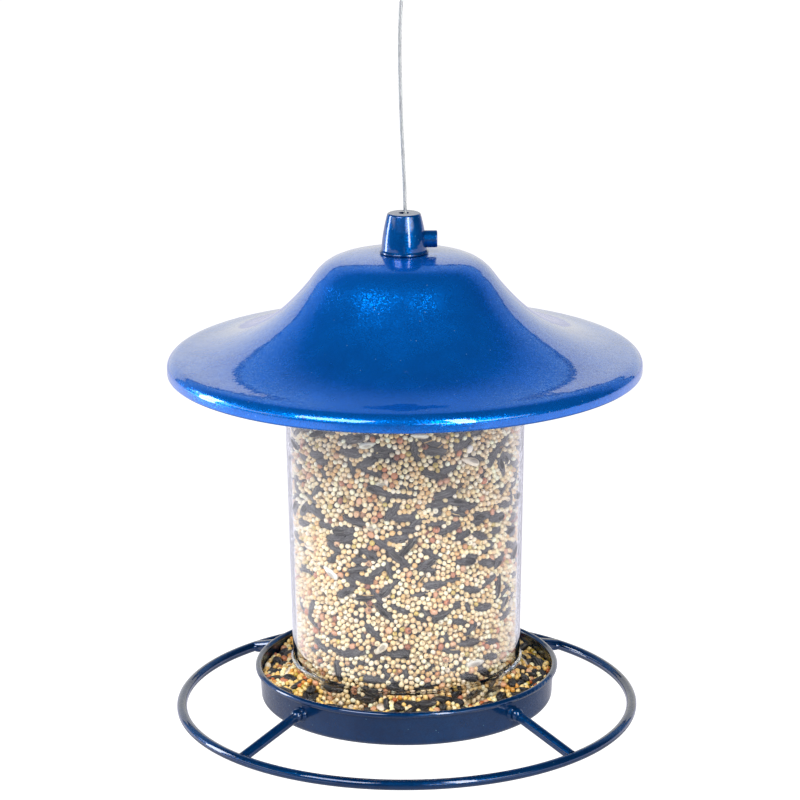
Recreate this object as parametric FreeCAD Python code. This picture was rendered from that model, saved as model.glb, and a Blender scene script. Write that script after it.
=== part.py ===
import FreeCAD, Part
import math
import os

# Hanging gravity seed feeder: a clear seed reservoir stands in a round metal
# tray, a bell-shaped metal roof closes it, and one wire cable runs up the
# middle of everything. A push-button lock holds the roof down on the cable.
# Millimetres, +Z up, origin on the feeder's axis under the perch ring,
# front towards -Y. Azimuths are degrees from +X, counterclockwise from above.

Vector = FreeCAD.Vector
os.makedirs("parts", exist_ok=True)

# ------------------------------------------------- dimensions shared by parts
TRAY_Z = 5.1                     # underside of the floor
TRAY_T = 0.8
FLOOR_TOP = TRAY_Z + TRAY_T
TRAY_WALL_R0, TRAY_WALL_R1 = 67.5, 68.25   # outer wall, bottom and top

LEG_N = 5                        # reservoir legs, each screwed to the tray
LEG_FIRST = -31.75               # degrees from the front, towards +X
LEG_AZIMUTHS = [LEG_FIRST - 90.0 + i * 360.0 / LEG_N for i in range(LEG_N)]
BOSS_PITCH_R = 44.0
SCREW_R = 1.5

ROOF_T = 0.8
ROOF_FLAT_Z = 215.45             # top of the roof's flat centre
STEM_R = 4.0                     # lock stem through the roof
CABLE_R = 0.8                    # 1/16 in wire rope
CABLE_Z0 = 0.9

OVERLAP = 0.1                    # runs a small tool or joint past a face
OVERSHOOT = 1.0                  # runs a cutting tool past a part
PICK = 0.01                      # tolerance when picking edges by place
ARC_INSET = 1.0 - math.sqrt(0.5)   # quarter arc's middle, in radii from its sides


# ------------------------------------------------------------------- helpers
def save(name, shape):
    shape.exportStep(os.path.join("parts", name + ".step"))


def polar(radius, azimuth, z=0.0):
    angle = math.radians(azimuth)
    return Vector(radius * math.cos(angle), radius * math.sin(angle), z)


def in_xz(point):
    return Vector(point[0], 0.0, point[1])


def lines(*points):
    """Straight edges through (x, z) points."""
    return [Part.LineSegment(in_xz(a), in_xz(b)).toShape()
            for a, b in zip(points[:-1], points[1:])]


def arc(start, middle, end):
    return [Part.Arc(in_xz(start), in_xz(middle), in_xz(end)).toShape()]


def spin(edges):
    """Solid of revolution about Z from a closed (radius, z) outline."""
    solid = Part.Face(Part.Wire(edges)).revolve(Vector(0, 0, 0), Vector(0, 0, 1), 360)
    if solid.Volume < 0:
        solid.reverse()
    return solid


def cylinder(radius, z0, z1, x=0.0, y=0.0):
    return Part.makeCylinder(radius, z1 - z0, Vector(x, y, z0))


def x_cylinder(radius, x0, x1, z):
    return Part.makeCylinder(radius, x1 - x0, Vector(x0, 0, z), Vector(1, 0, 0))


def turned(shape, azimuth):
    copy = shape.copy()
    copy.rotate(Vector(0, 0, 0), Vector(0, 0, 1), azimuth)
    return copy


def rounded(shape, radius, picks):
    """Fillet the edges whose centre of mass satisfies picks."""
    return shape.makeFillet(radius, [edge for edge in shape.Edges
                                     if picks(edge.CenterOfMass)])


def largest(shape):
    return max(shape.Solids, key=lambda solid: solid.Volume)


# ---------------------------------------------------------------------- tray
# 0.8 mm sheet with a rolled rim
TRAY_CORNER = 3.0                # outer radius between floor and wall
TRAY_FLAT_R = TRAY_WALL_R0 - TRAY_CORNER
CORNER_TOP = TRAY_Z + TRAY_CORNER
RIM_R, RIM_Z, RIM_BEAD = 68.6, 20.7, 1.4   # centre and radius of the rolled rim
WALL_TOP = RIM_Z - 0.9           # wall ends inside the rim
TRAY_HOLE_R = 1.3
DRAIN_R, DRAIN_PITCH_R, DRAIN_N = 1.1, 59.5, 10
TRAY_SCREW_CLEAR = 0.1
TRAY_DRILL = (0, 10)             # z span of the drills


def tray_outside(start_r):
    """Outer outline from start_r on the underside to the top of the wall."""
    inset = TRAY_CORNER * ARC_INSET
    return (lines((start_r, TRAY_Z), (TRAY_FLAT_R, TRAY_Z))
            + arc((TRAY_FLAT_R, TRAY_Z), (TRAY_WALL_R0 - inset, TRAY_Z + inset),
                  (TRAY_WALL_R0, CORNER_TOP))
            + lines((TRAY_WALL_R0, CORNER_TOP), (TRAY_WALL_R1, WALL_TOP)))


def make_tray():
    inner_r0 = TRAY_WALL_R0 - TRAY_T
    inner_r1 = TRAY_WALL_R1 - TRAY_T
    inset = (TRAY_CORNER - TRAY_T) * ARC_INSET
    tray = spin(
        tray_outside(TRAY_HOLE_R)
        + lines((TRAY_WALL_R1, WALL_TOP), (inner_r1, WALL_TOP), (inner_r0, CORNER_TOP))
        + arc((inner_r0, CORNER_TOP), (inner_r0 - inset, FLOOR_TOP + inset),
              (TRAY_FLAT_R, FLOOR_TOP))
        + lines((TRAY_FLAT_R, FLOOR_TOP), (TRAY_HOLE_R, FLOOR_TOP),
                (TRAY_HOLE_R, TRAY_Z)))
    rim = Part.makeTorus(RIM_R, RIM_BEAD, Vector(0, 0, RIM_Z))
    tray = tray.fuse(rim).removeSplitter()
    # the first drain lies half a drain pitch past the first leg
    drain_azimuths = [LEG_AZIMUTHS[0] + (i + 0.5) * 360.0 / DRAIN_N
                      for i in range(DRAIN_N)]
    for radius, pitch_r, azimuths in (
            (SCREW_R + TRAY_SCREW_CLEAR, BOSS_PITCH_R, LEG_AZIMUTHS),
            (DRAIN_R, DRAIN_PITCH_R, drain_azimuths)):
        for azimuth in azimuths:
            spot = polar(pitch_r, azimuth)
            tray = tray.cut(cylinder(radius, *TRAY_DRILL, spot.x, spot.y))
    return tray


def make_filled_tray():
    """Solid tray outline, used to trim what is welded against the wall."""
    return spin(tray_outside(0)
                + lines((TRAY_WALL_R1, WALL_TOP), (0, WALL_TOP), (0, TRAY_Z)))


save("tray", make_tray())

# ------------------------------------------------- perch ring, spokes, welds
# 3/16 in rod; the spokes are built along +X and turned into place
ROD_R = 2.35
RING_R, RING_Z = 104.5, ROD_R
SPOKE_AZIMUTHS = {"front_left": -135.0, "front_right": -45.0,
                  "back_right": 45.0, "back_left": 135.0}
SPOKE_IN = Vector(70.3, 0, 13.3)     # inner end of the spoke's axis
SPOKE_OUT = Vector(103.0, 0, 3.0)    # where it meets the ring
KNUCKLE_R = 3.1                      # rounded tip against the tray wall
KNUCKLE_Z = SPOKE_IN.z + 0.2
KNUCKLE_CENTRE = Vector(SPOKE_IN.x - 0.4, 0, KNUCKLE_Z)
TRAY_WELD_R = 4.1
TRAY_WELD_CENTRE = Vector(TRAY_WALL_R0 - 1.35, 0, KNUCKLE_Z)
RING_WELD_R = 3.45
RING_WELD_CENTRE = Vector(101.6, 0, 3.55)


def make_spoke(filled_tray, ring):
    run = SPOKE_OUT - SPOKE_IN
    rod = Part.makeCylinder(ROD_R, run.Length, SPOKE_IN, run)
    knuckle = Part.makeSphere(KNUCKLE_R, KNUCKLE_CENTRE)
    return largest(rod.fuse(knuckle).cut(filled_tray).cut(ring))


def make_welds(radius, centre, base, spoke):
    """One weld collar per spoke, trimmed by the base it sits on."""
    collar = largest(Part.makeSphere(radius, centre).cut(base).cut(spoke))
    return Part.makeCompound([turned(collar, azimuth)
                              for azimuth in SPOKE_AZIMUTHS.values()])


ring = Part.makeTorus(RING_R, ROD_R, Vector(0, 0, RING_Z))
filled_tray = make_filled_tray()
spoke = make_spoke(filled_tray, ring)
save("perch_ring", ring)
for side, azimuth in SPOKE_AZIMUTHS.items():
    save("spoke_" + side, turned(spoke, azimuth))
save("tray_weld_beads", make_welds(TRAY_WELD_R, TRAY_WELD_CENTRE, filled_tray, spoke))
save("ring_weld_beads", make_welds(RING_WELD_R, RING_WELD_CENTRE, ring, spoke))

# ----------------------------------------------------------------- reservoir
# clear moulded tube with draft, five legs between seed windows
TUBE_Z0, TUBE_Z1 = 24.2, 187.85  # window tops, top edge
TUBE_R0, TUBE_R1 = 52.56, 55.26  # outer radius there
TUBE_T = 1.8
TUBE_ROUND = 0.5                 # rounding of the lip's foot and the top edge
LIP_R, LIP_H = 53.45, 2.0
LIP_SLOPE = (-0.7, 0.3)          # ends of the lip's upper slope, from LIP_H
STEP_IN = (-1.0, 3.0)            # ends of the inner slope, from TUBE_Z0
LEG_R, LEG_T = 51.9, 1.8
WINDOW_W, WINDOW_CORNER = 35.0, 4.0
WINDOW_Z0 = FLOOR_TOP - 2.0
WINDOW_CUT_R, WINDOW_CUT_DEPTH = 44.0, 16.0
FOOT_R, FOOT_W, FOOT_T = 39.5, 12.0, 2.0
FOOT_SINK = 0.6                  # foot runs this far into the leg
BOSS_R, BOSS_H, BOSS_CAP = 3.4, 7.0, 1.0
BOSS_SCREW_CLEAR = 0.02


def tube_r(z):
    return TUBE_R0 + (TUBE_R1 - TUBE_R0) * (z - TUBE_Z0) / (TUBE_Z1 - TUBE_Z0)


def make_tube_wall():
    inset = TUBE_ROUND * ARC_INSET
    leg_inner_r = LEG_R - LEG_T
    lip_foot = (LIP_R - TUBE_ROUND, TUBE_Z0)
    lip_side = (LIP_R, TUBE_Z0 + TUBE_ROUND)
    slope_z0, slope_z1 = [TUBE_Z0 + LIP_H + dz for dz in LIP_SLOPE]
    step_z0, step_z1 = [TUBE_Z0 + dz for dz in STEP_IN]
    top_r = tube_r(TUBE_Z1)
    top_side = (tube_r(TUBE_Z1 - TUBE_ROUND), TUBE_Z1 - TUBE_ROUND)
    top_edge = (top_r - TUBE_ROUND, TUBE_Z1)
    return spin(
        lines((leg_inner_r, FLOOR_TOP), (LEG_R, FLOOR_TOP), (LEG_R, TUBE_Z0), lip_foot)
        + arc(lip_foot, (LIP_R - inset, TUBE_Z0 + inset), lip_side)
        + lines(lip_side, (LIP_R, slope_z0), (tube_r(slope_z1), slope_z1), top_side)
        + arc(top_side, (top_r - inset, TUBE_Z1 - inset), top_edge)
        + lines(top_edge, (top_r - TUBE_T, TUBE_Z1), (tube_r(step_z1) - TUBE_T, step_z1),
                (leg_inner_r, step_z0), (leg_inner_r, FLOOR_TOP)))


def make_window():
    """Window cutter at the front: upper corners rounded, open at the floor."""
    half = WINDOW_W / 2.0
    inset = WINDOW_CORNER * ARC_INSET
    side_z = TUBE_Z0 - WINDOW_CORNER
    top_x = half - WINDOW_CORNER
    edges = (lines((-half, WINDOW_Z0), (half, WINDOW_Z0), (half, side_z))
             + arc((half, side_z), (half - inset, TUBE_Z0 - inset), (top_x, TUBE_Z0))
             + lines((top_x, TUBE_Z0), (-top_x, TUBE_Z0))
             + arc((-top_x, TUBE_Z0), (-half + inset, TUBE_Z0 - inset), (-half, side_z))
             + lines((-half, side_z), (-half, WINDOW_Z0)))
    window = Part.Face(Part.Wire(edges)).extrude(Vector(0, -WINDOW_CUT_DEPTH, 0))
    window.translate(Vector(0, -WINDOW_CUT_R, 0))
    return window


def make_foot():
    """Foot with its hollow screw boss, along +X."""
    foot = Part.makeBox(LEG_R - LEG_T + FOOT_SINK - FOOT_R, FOOT_W, FOOT_T,
                        Vector(FOOT_R, -FOOT_W / 2.0, FLOOR_TOP))
    boss_top = FLOOR_TOP + BOSS_H
    foot = foot.fuse(cylinder(BOSS_R, FLOOR_TOP, boss_top, BOSS_PITCH_R))
    return foot.cut(cylinder(SCREW_R + BOSS_SCREW_CLEAR, 0, boss_top - BOSS_CAP,
                             BOSS_PITCH_R))


def make_reservoir():
    tube = make_tube_wall()
    window = make_window()
    for azimuth in LEG_AZIMUTHS:
        # midway between two legs; the cutter starts at azimuth -90
        tube = tube.cut(turned(window, azimuth + 180.0 / LEG_N + 90.0))
    foot = make_foot()
    for azimuth in LEG_AZIMUTHS:
        tube = tube.fuse(turned(foot, azimuth))
    return tube.removeSplitter()


save("reservoir_tube", make_reservoir())

# --------------------------------------------------------------- tube screws
# they hold the legs' feet to the tray floor
SCREW_LEN = 6.5
SCREW_TIP_R, SCREW_TIP_LEN = 0.4, 1.2
SCREW_HEAD_R, SCREW_HEAD_H, SCREW_HEAD_ROUND = 2.9, 1.6, 0.9
RECESS_LEN, RECESS_W, RECESS_DEPTH = 3.2, 0.7, 0.9   # cross in the head


def make_screw():
    tip_z = TRAY_Z + SCREW_LEN - SCREW_TIP_LEN
    head_z = TRAY_Z - SCREW_HEAD_H
    screw = cylinder(SCREW_R, TRAY_Z - OVERLAP, tip_z)
    screw = screw.fuse(Part.makeCone(SCREW_R, SCREW_TIP_R, SCREW_TIP_LEN,
                                     Vector(0, 0, tip_z)))
    head = rounded(cylinder(SCREW_HEAD_R, head_z, TRAY_Z), SCREW_HEAD_ROUND,
                   lambda centre: centre.z < head_z + PICK)
    screw = screw.fuse(head)
    slot = Part.makeBox(RECESS_LEN, RECESS_W, RECESS_DEPTH + OVERLAP,
                        Vector(-RECESS_LEN / 2.0, -RECESS_W / 2.0, head_z - OVERLAP))
    for azimuth in (45.0, 135.0):
        screw = screw.cut(turned(slot, azimuth))
    return screw


def make_screws():
    screw = make_screw()
    screws = []
    for azimuth in LEG_AZIMUTHS:
        placed = screw.copy()
        placed.translate(polar(BOSS_PITCH_R, azimuth))
        screws.append(placed)
    return Part.makeCompound(screws)


save("tube_screws", make_screws())

# ---------------------------------------------------------------------- roof
# 0.8 mm sheet, spun to a bell shape with a rounded skirt
ROOF_HOLE_R = 4.2
# outer profile: radius, height, slope in degrees; two arcs run between neighbours
ROOF_OUTER = [
    (12.0, ROOF_FLAT_Z, 0.0),
    (24.32, 214.31, -8.27),
    (36.51, 209.78, -38.78),
    (44.95, 199.84, -49.86),
    (63.82, 182.37, -32.78),
    (98.38, 170.18, -6.69),
    (106.94, 166.76, -59.76),
    (107.45, 162.6, -91.72),
]
HEM_R, HEM_Z, HEM_BEAD = 106.45, 162.55, 1.05   # centre and radius of the rolled hem


# The profile is worked out on flat vectors: x is the radius, y the height.
def biarc_joint(start, start_dir, end, end_dir):
    """Joint of the two arcs that lead from start to end without a kink."""
    span = end - start
    along = span.dot(start_dir + end_dir)
    bend = 2.0 * (1.0 - start_dir.dot(end_dir))
    reach = (math.sqrt(along ** 2 + bend * span.dot(span)) - along) / bend
    return (start + end + (start_dir - end_dir) * reach) * 0.5


def inset_arc(start, start_dir, end, inset):
    """Ends and middle of the arc leaving start along start_dir, moved inwards."""
    normal = Vector(-start_dir.y, start_dir.x, 0)
    span = end - start
    radius = span.dot(span) / (2.0 * normal.dot(span))   # positive: centre outside
    centre = start + normal * radius
    scale = 1.0 + inset / radius
    first = centre + (start - centre) * scale
    last = centre + (end - centre) * scale
    outward = (first + last) * 0.5 - centre
    middle = centre + outward * (abs(radius + inset) / outward.Length)
    return first, middle, last


def roof_arcs(inset):
    knots = [(Vector(r, z, 0), polar(1.0, slope)) for r, z, slope in ROOF_OUTER]
    arcs = []
    for (start, start_dir), (end, end_dir) in zip(knots[:-1], knots[1:]):
        joint = biarc_joint(start, start_dir, end, end_dir)
        arcs.append(inset_arc(start, start_dir, joint, inset))
        arcs.append(inset_arc(end, end_dir, joint, inset)[::-1])
    return arcs


def make_roof():
    outer, inner = roof_arcs(0.0), roof_arcs(ROOF_T)
    hole_top = (ROOF_HOLE_R, ROOF_FLAT_Z)
    inner_start = inner[0][0]
    edges = lines(hole_top, outer[0][0])
    for points in outer:
        edges += arc(*points)
    edges += lines(outer[-1][2], inner[-1][2])
    for points in inner[::-1]:
        edges += arc(*points)
    edges += lines(inner_start, (ROOF_HOLE_R, inner_start.y), hole_top)
    hem = Part.makeTorus(HEM_R, HEM_BEAD, Vector(0, 0, HEM_Z))
    return spin(edges).fuse(hem).removeSplitter()


save("roof", make_roof())

# ---------------------------------------------------------------- cable lock
LOCK_Z0, LOCK_Z1 = ROOF_FLAT_Z, 233.7
# rounded base edge: start, middle, end as radius, z
LOCK_BASE = [(10.7, LOCK_Z0), (11.05, LOCK_Z0 + 0.65), (10.75, LOCK_Z0 + 1.4)]
# side of the housing: radius, z
LOCK_PROFILE = [(10.3, 217.4), (9.98, 220.5), (9.42, 224.5), (8.78, 228.0),
                (8.1, 231.0), (7.62, 232.9)]
# rounded top edge: middle, end as radius, z
LOCK_TOP = [(7.3, LOCK_Z1 - 0.22), (6.75, LOCK_Z1)]
LOCK_BORE_R = 1.5                # cable channel
LOCK_MOUTH_R, LOCK_MOUTH_D, LOCK_MOUTH_CONE = 2.35, 3.2, 0.9
STEM_Z0 = 207.2
STEM_SINK = 1.0                  # stem runs this far into the housing
BUTTON_Z, BUTTON_R, BUTTON_CLEAR = 221.8, 3.85, 0.05
BUTTON_X0, BUTTON_X1 = -4.2, 14.9
BUTTON_ROUND = 0.6
BUTTON_BORE_X0, BUTTON_BORE_X1 = -8.2, 20.0
BUTTON_TRAVEL = 2.5
SLOT_HALF_W, SLOT_HALF_H = 1.0, 6.0
SLOT_CLEAR_X0, SLOT_CLEAR_X1 = 0.05, 0.15   # gaps to the cable, -X and +X sides
POCKET_R, POCKET_X1 = 2.6, -2.2  # spring pocket in the button
SPRING_WIRE, SPRING_MEAN_R, SPRING_TURNS = 0.5, 1.85, 5.0
SPRING_GAP = 0.05
WASHER_R, WASHER_T, WASHER_CLEAR = 9.0, 1.0, 0.15
WASHER_TOP = ROOF_FLAT_Z - ROOF_T
NUT_AF, NUT_H, NUT_CLEAR = 13.0, 5.0, 0.02
NUT_TOP = WASHER_TOP - WASHER_T
NUT_CHAMFER_R, NUT_CHAMFER_H = 1.2, 0.7
STEM_DRILL = (190, 230)          # z span of the washer's and nut's bores


def make_housing():
    side = Part.BSplineCurve()
    side.interpolate(Points=[in_xz(point) for point in LOCK_PROFILE])
    housing = spin(
        lines((0, LOCK_Z0), LOCK_BASE[0])
        + arc(*LOCK_BASE)
        + lines(LOCK_BASE[-1], LOCK_PROFILE[0])
        + [side.toShape()]
        + arc(LOCK_PROFILE[-1], *LOCK_TOP)
        + lines(LOCK_TOP[-1], (0, LOCK_Z1), (0, LOCK_Z0)))
    housing = housing.fuse(cylinder(STEM_R, STEM_Z0, LOCK_Z0 + STEM_SINK))
    housing = housing.cut(cylinder(LOCK_BORE_R, STEM_Z0 - OVERSHOOT, LOCK_Z1 + OVERSHOOT))
    mouth_z = LOCK_Z1 - LOCK_MOUTH_D
    mouth = cylinder(LOCK_MOUTH_R, mouth_z, LOCK_Z1 + OVERSHOOT)
    mouth = mouth.fuse(Part.makeCone(LOCK_BORE_R, LOCK_MOUTH_R, LOCK_MOUTH_CONE,
                                     Vector(0, 0, mouth_z - LOCK_MOUTH_CONE)))
    housing = housing.cut(mouth)
    housing = housing.cut(x_cylinder(BUTTON_R + BUTTON_CLEAR, BUTTON_BORE_X0,
                                     BUTTON_BORE_X1, BUTTON_Z))
    return largest(housing).removeSplitter()


def make_button():
    button = rounded(x_cylinder(BUTTON_R, BUTTON_X0, BUTTON_X1, BUTTON_Z), BUTTON_ROUND,
                     lambda centre: centre.x > BUTTON_X1 - PICK)
    # upright slot for the cable, long enough for the button's travel
    x0 = -CABLE_R - SLOT_CLEAR_X0 + SLOT_HALF_W
    x1 = CABLE_R + SLOT_CLEAR_X1 + BUTTON_TRAVEL - SLOT_HALF_W
    z0, z1 = BUTTON_Z - SLOT_HALF_H, BUTTON_Z + SLOT_HALF_H
    slot = Part.makeBox(x1 - x0, 2 * SLOT_HALF_W, z1 - z0, Vector(x0, -SLOT_HALF_W, z0))
    for x in (x0, x1):
        slot = slot.fuse(cylinder(SLOT_HALF_W, z0, z1, x))
    button = button.cut(slot)
    return button.cut(x_cylinder(POCKET_R, BUTTON_X0 - OVERSHOOT, POCKET_X1, BUTTON_Z))


def make_spring():
    """Coil between the end of the button's bore and its pocket."""
    length = POCKET_X1 - BUTTON_BORE_X0 - SPRING_WIRE - 2 * SPRING_GAP
    helix = Part.makeHelix(length / SPRING_TURNS, length, SPRING_MEAN_R)
    section = Part.Wire(Part.makeCircle(SPRING_WIRE / 2.0, Vector(SPRING_MEAN_R, 0, 0),
                                        Vector(0, 1, 0)))
    spring = Part.Wire(helix).makePipeShell([section], True, True)
    spring.rotate(Vector(0, 0, 0), Vector(0, 1, 0), 90)
    spring.translate(Vector(BUTTON_BORE_X0 + SPRING_GAP + SPRING_WIRE / 2.0, 0, BUTTON_Z))
    return spring


def make_washer():
    washer = cylinder(WASHER_R, WASHER_TOP - WASHER_T, WASHER_TOP)
    return washer.cut(cylinder(STEM_R + WASHER_CLEAR, *STEM_DRILL))


def make_nut():
    """Hexagon nut, its lower corners chamfered."""
    nut_z = NUT_TOP - NUT_H
    hexagon = Part.makePolygon([polar(NUT_AF / math.sqrt(3.0), 60.0 * i, nut_z)
                                for i in range(7)])
    nut = Part.Face(hexagon).extrude(Vector(0, 0, NUT_H))
    flat_r = NUT_AF / 2.0
    envelope_r = flat_r + NUT_CHAMFER_R
    envelope = spin(lines((0, nut_z), (flat_r, nut_z), (envelope_r, nut_z + NUT_CHAMFER_H),
                          (envelope_r, NUT_TOP), (0, NUT_TOP), (0, nut_z)))
    return nut.common(envelope).cut(cylinder(STEM_R + NUT_CLEAR, *STEM_DRILL))


save("lock_housing", make_housing())
save("lock_button", make_button())
save("lock_spring", make_spring())
save("lock_washer", make_washer())
save("lock_nut", make_nut())

# --------------------------------------------------------------------- cable
# a loop on top, held by a ferrule, and a stop under the tray
FERRULE_Z0, FERRULE_Z1, FERRULE_R = 368.0, 378.5, 1.9
FERRULE_ROUND = 0.6
TAIL_X, TAIL_Z0 = 1.75, 366.4    # the cable's returning end
LOOP_Z0 = FERRULE_Z1 + 1.0
LOOP_TOP, LOOP_HALF_W = 423.2, 12.2
LOOP_X = TAIL_X / 2.0            # the loop's middle line
# -X half of the loop: x, height above LOOP_Z0
LOOP_HALF = [
    (0.0, 0.0),
    (-0.9, 3.6),
    (-5.6, 13.0),
    (LOOP_X - LOOP_HALF_W * 0.93, 22.5),
    (LOOP_X - LOOP_HALF_W, 31.0),
    (LOOP_X - LOOP_HALF_W * 0.70, 39.5),
]
STOP_R, STOP_ROUND = 2.3, 0.5
STOP_CAP = 0.1                   # closed end under the cable
STOP_WASHER_R, STOP_WASHER_BORE, STOP_WASHER_T = 6.5, 0.95, 0.8
STOP_TOP = TRAY_Z - STOP_WASHER_T
STOP_WASHER_DRILL = (0, 20)      # z span of the drill


def make_cable():
    half = [(x, LOOP_Z0 + z) for x, z in LOOP_HALF]
    mirrored = [(2 * LOOP_X - x, z) for x, z in reversed(half)]
    loop = Part.BSplineCurve()
    loop.interpolate(Points=[in_xz(p) for p in half + [(LOOP_X, LOOP_TOP)] + mirrored],
                     InitialTangent=Vector(0, 0, 1), FinalTangent=Vector(0, 0, -1))
    path = Part.Wire(lines((0, CABLE_Z0), (0, LOOP_Z0))
                     + [loop.toShape()]
                     + lines((TAIL_X, LOOP_Z0), (TAIL_X, TAIL_Z0)))
    section = Part.Wire(Part.makeCircle(CABLE_R, Vector(0, 0, CABLE_Z0), Vector(0, 0, 1)))
    return path.makePipeShell([section], True, False)


def make_ferrule():
    ferrule = Part.makeBox(TAIL_X, 2 * FERRULE_R, FERRULE_Z1 - FERRULE_Z0,
                           Vector(0, -FERRULE_R, FERRULE_Z0))
    for x in (0.0, TAIL_X):
        ferrule = ferrule.fuse(cylinder(FERRULE_R, FERRULE_Z0, FERRULE_Z1, x))
    ferrule = rounded(ferrule.removeSplitter(), FERRULE_ROUND,
                      lambda centre: abs(centre.z - FERRULE_Z0) < PICK
                      or abs(centre.z - FERRULE_Z1) < PICK)
    for x in (0.0, TAIL_X):
        ferrule = ferrule.cut(cylinder(CABLE_R, FERRULE_Z0 - OVERSHOOT,
                                       FERRULE_Z1 + OVERSHOOT, x))
    return ferrule


def make_stop():
    stop = rounded(cylinder(STOP_R, CABLE_Z0 - STOP_CAP, STOP_TOP), STOP_ROUND,
                   lambda centre: centre.z < CABLE_Z0)
    return stop.cut(cylinder(CABLE_R, CABLE_Z0, STOP_TOP + OVERSHOOT))


def make_stop_washer():
    washer = cylinder(STOP_WASHER_R, STOP_TOP, TRAY_Z)
    return washer.cut(cylinder(STOP_WASHER_BORE, *STOP_WASHER_DRILL))


save("hanging_cable", make_cable())
save("loop_ferrule", make_ferrule())
save("cable_end_stop", make_stop())
save("stop_washer", make_stop_washer())
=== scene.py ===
# A hanging bird feeder: a bell roof and a sliding lock on a wire rope, over a clear hopper of
# mixed seed that stands in a tray with a perch ring. The rope lies along Z, up is +Z, the front
# faces -Y and +X is on the right. Pieces are in millimetres, shaders and studio in metres.
import math

import bpy
import numpy as np
from mathutils import Matrix, Vector


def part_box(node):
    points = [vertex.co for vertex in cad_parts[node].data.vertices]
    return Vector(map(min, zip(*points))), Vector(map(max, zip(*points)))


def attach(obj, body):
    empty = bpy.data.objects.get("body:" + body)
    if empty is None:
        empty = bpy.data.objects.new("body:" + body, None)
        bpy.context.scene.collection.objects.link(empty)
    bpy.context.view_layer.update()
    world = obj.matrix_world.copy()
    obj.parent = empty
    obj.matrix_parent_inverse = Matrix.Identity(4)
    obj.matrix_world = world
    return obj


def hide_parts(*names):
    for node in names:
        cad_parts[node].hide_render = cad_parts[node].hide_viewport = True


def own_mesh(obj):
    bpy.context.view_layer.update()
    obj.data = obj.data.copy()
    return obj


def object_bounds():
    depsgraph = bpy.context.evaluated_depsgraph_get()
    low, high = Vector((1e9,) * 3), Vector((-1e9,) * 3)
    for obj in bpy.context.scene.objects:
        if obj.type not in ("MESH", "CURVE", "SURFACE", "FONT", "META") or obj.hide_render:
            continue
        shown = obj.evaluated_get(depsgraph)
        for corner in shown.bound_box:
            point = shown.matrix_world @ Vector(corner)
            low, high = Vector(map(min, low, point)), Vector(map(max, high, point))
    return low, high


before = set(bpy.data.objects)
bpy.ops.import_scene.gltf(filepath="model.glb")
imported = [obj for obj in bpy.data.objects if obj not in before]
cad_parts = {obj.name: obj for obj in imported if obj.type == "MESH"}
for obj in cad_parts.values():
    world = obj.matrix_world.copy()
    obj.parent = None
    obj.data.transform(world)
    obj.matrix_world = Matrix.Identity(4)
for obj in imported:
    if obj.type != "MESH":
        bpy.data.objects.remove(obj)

cad_lo, cad_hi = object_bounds()
scene = bpy.context.scene
MM = 0.001
TURN = 2 * math.pi
UP = np.array([0, 0, 1.0])


# ---------------------------------------------------------------- dimensions
def node_box(name):
    lo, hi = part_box(name)
    return np.array(lo) / MM, np.array(hi) / MM


tray_lo, tray_hi = node_box("tray")
tube_lo, tube_hi = node_box("reservoir_tube")
lock_hi = node_box("lock_housing")[1]
ferrule_lo, ferrule_hi = node_box("loop_ferrule")
cable_lo, cable_hi = node_box("hanging_cable")
spring_lo, spring_hi = node_box("lock_spring")
roof_lo, roof_hi = node_box("roof")
ring_lo, ring_hi = node_box("perch_ring")

TRAY_SHEET = 0.8
FLOOR_TOP = tray_lo[2] + TRAY_SHEET
RIM_TOP = tray_hi[2]
TUBE_WALL = 1.8
ROPE_R = 0.8


# ------------------------------------------------------------- shader helpers
def srgb(*channels):
    """8-bit sRGB to linear RGBA."""
    linear = []
    for value in channels:
        value /= 255.0
        linear.append(value / 12.92 if value <= 0.04045 else ((value + 0.055) / 1.055) ** 2.4)
    return (*linear, 1.0)


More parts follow.
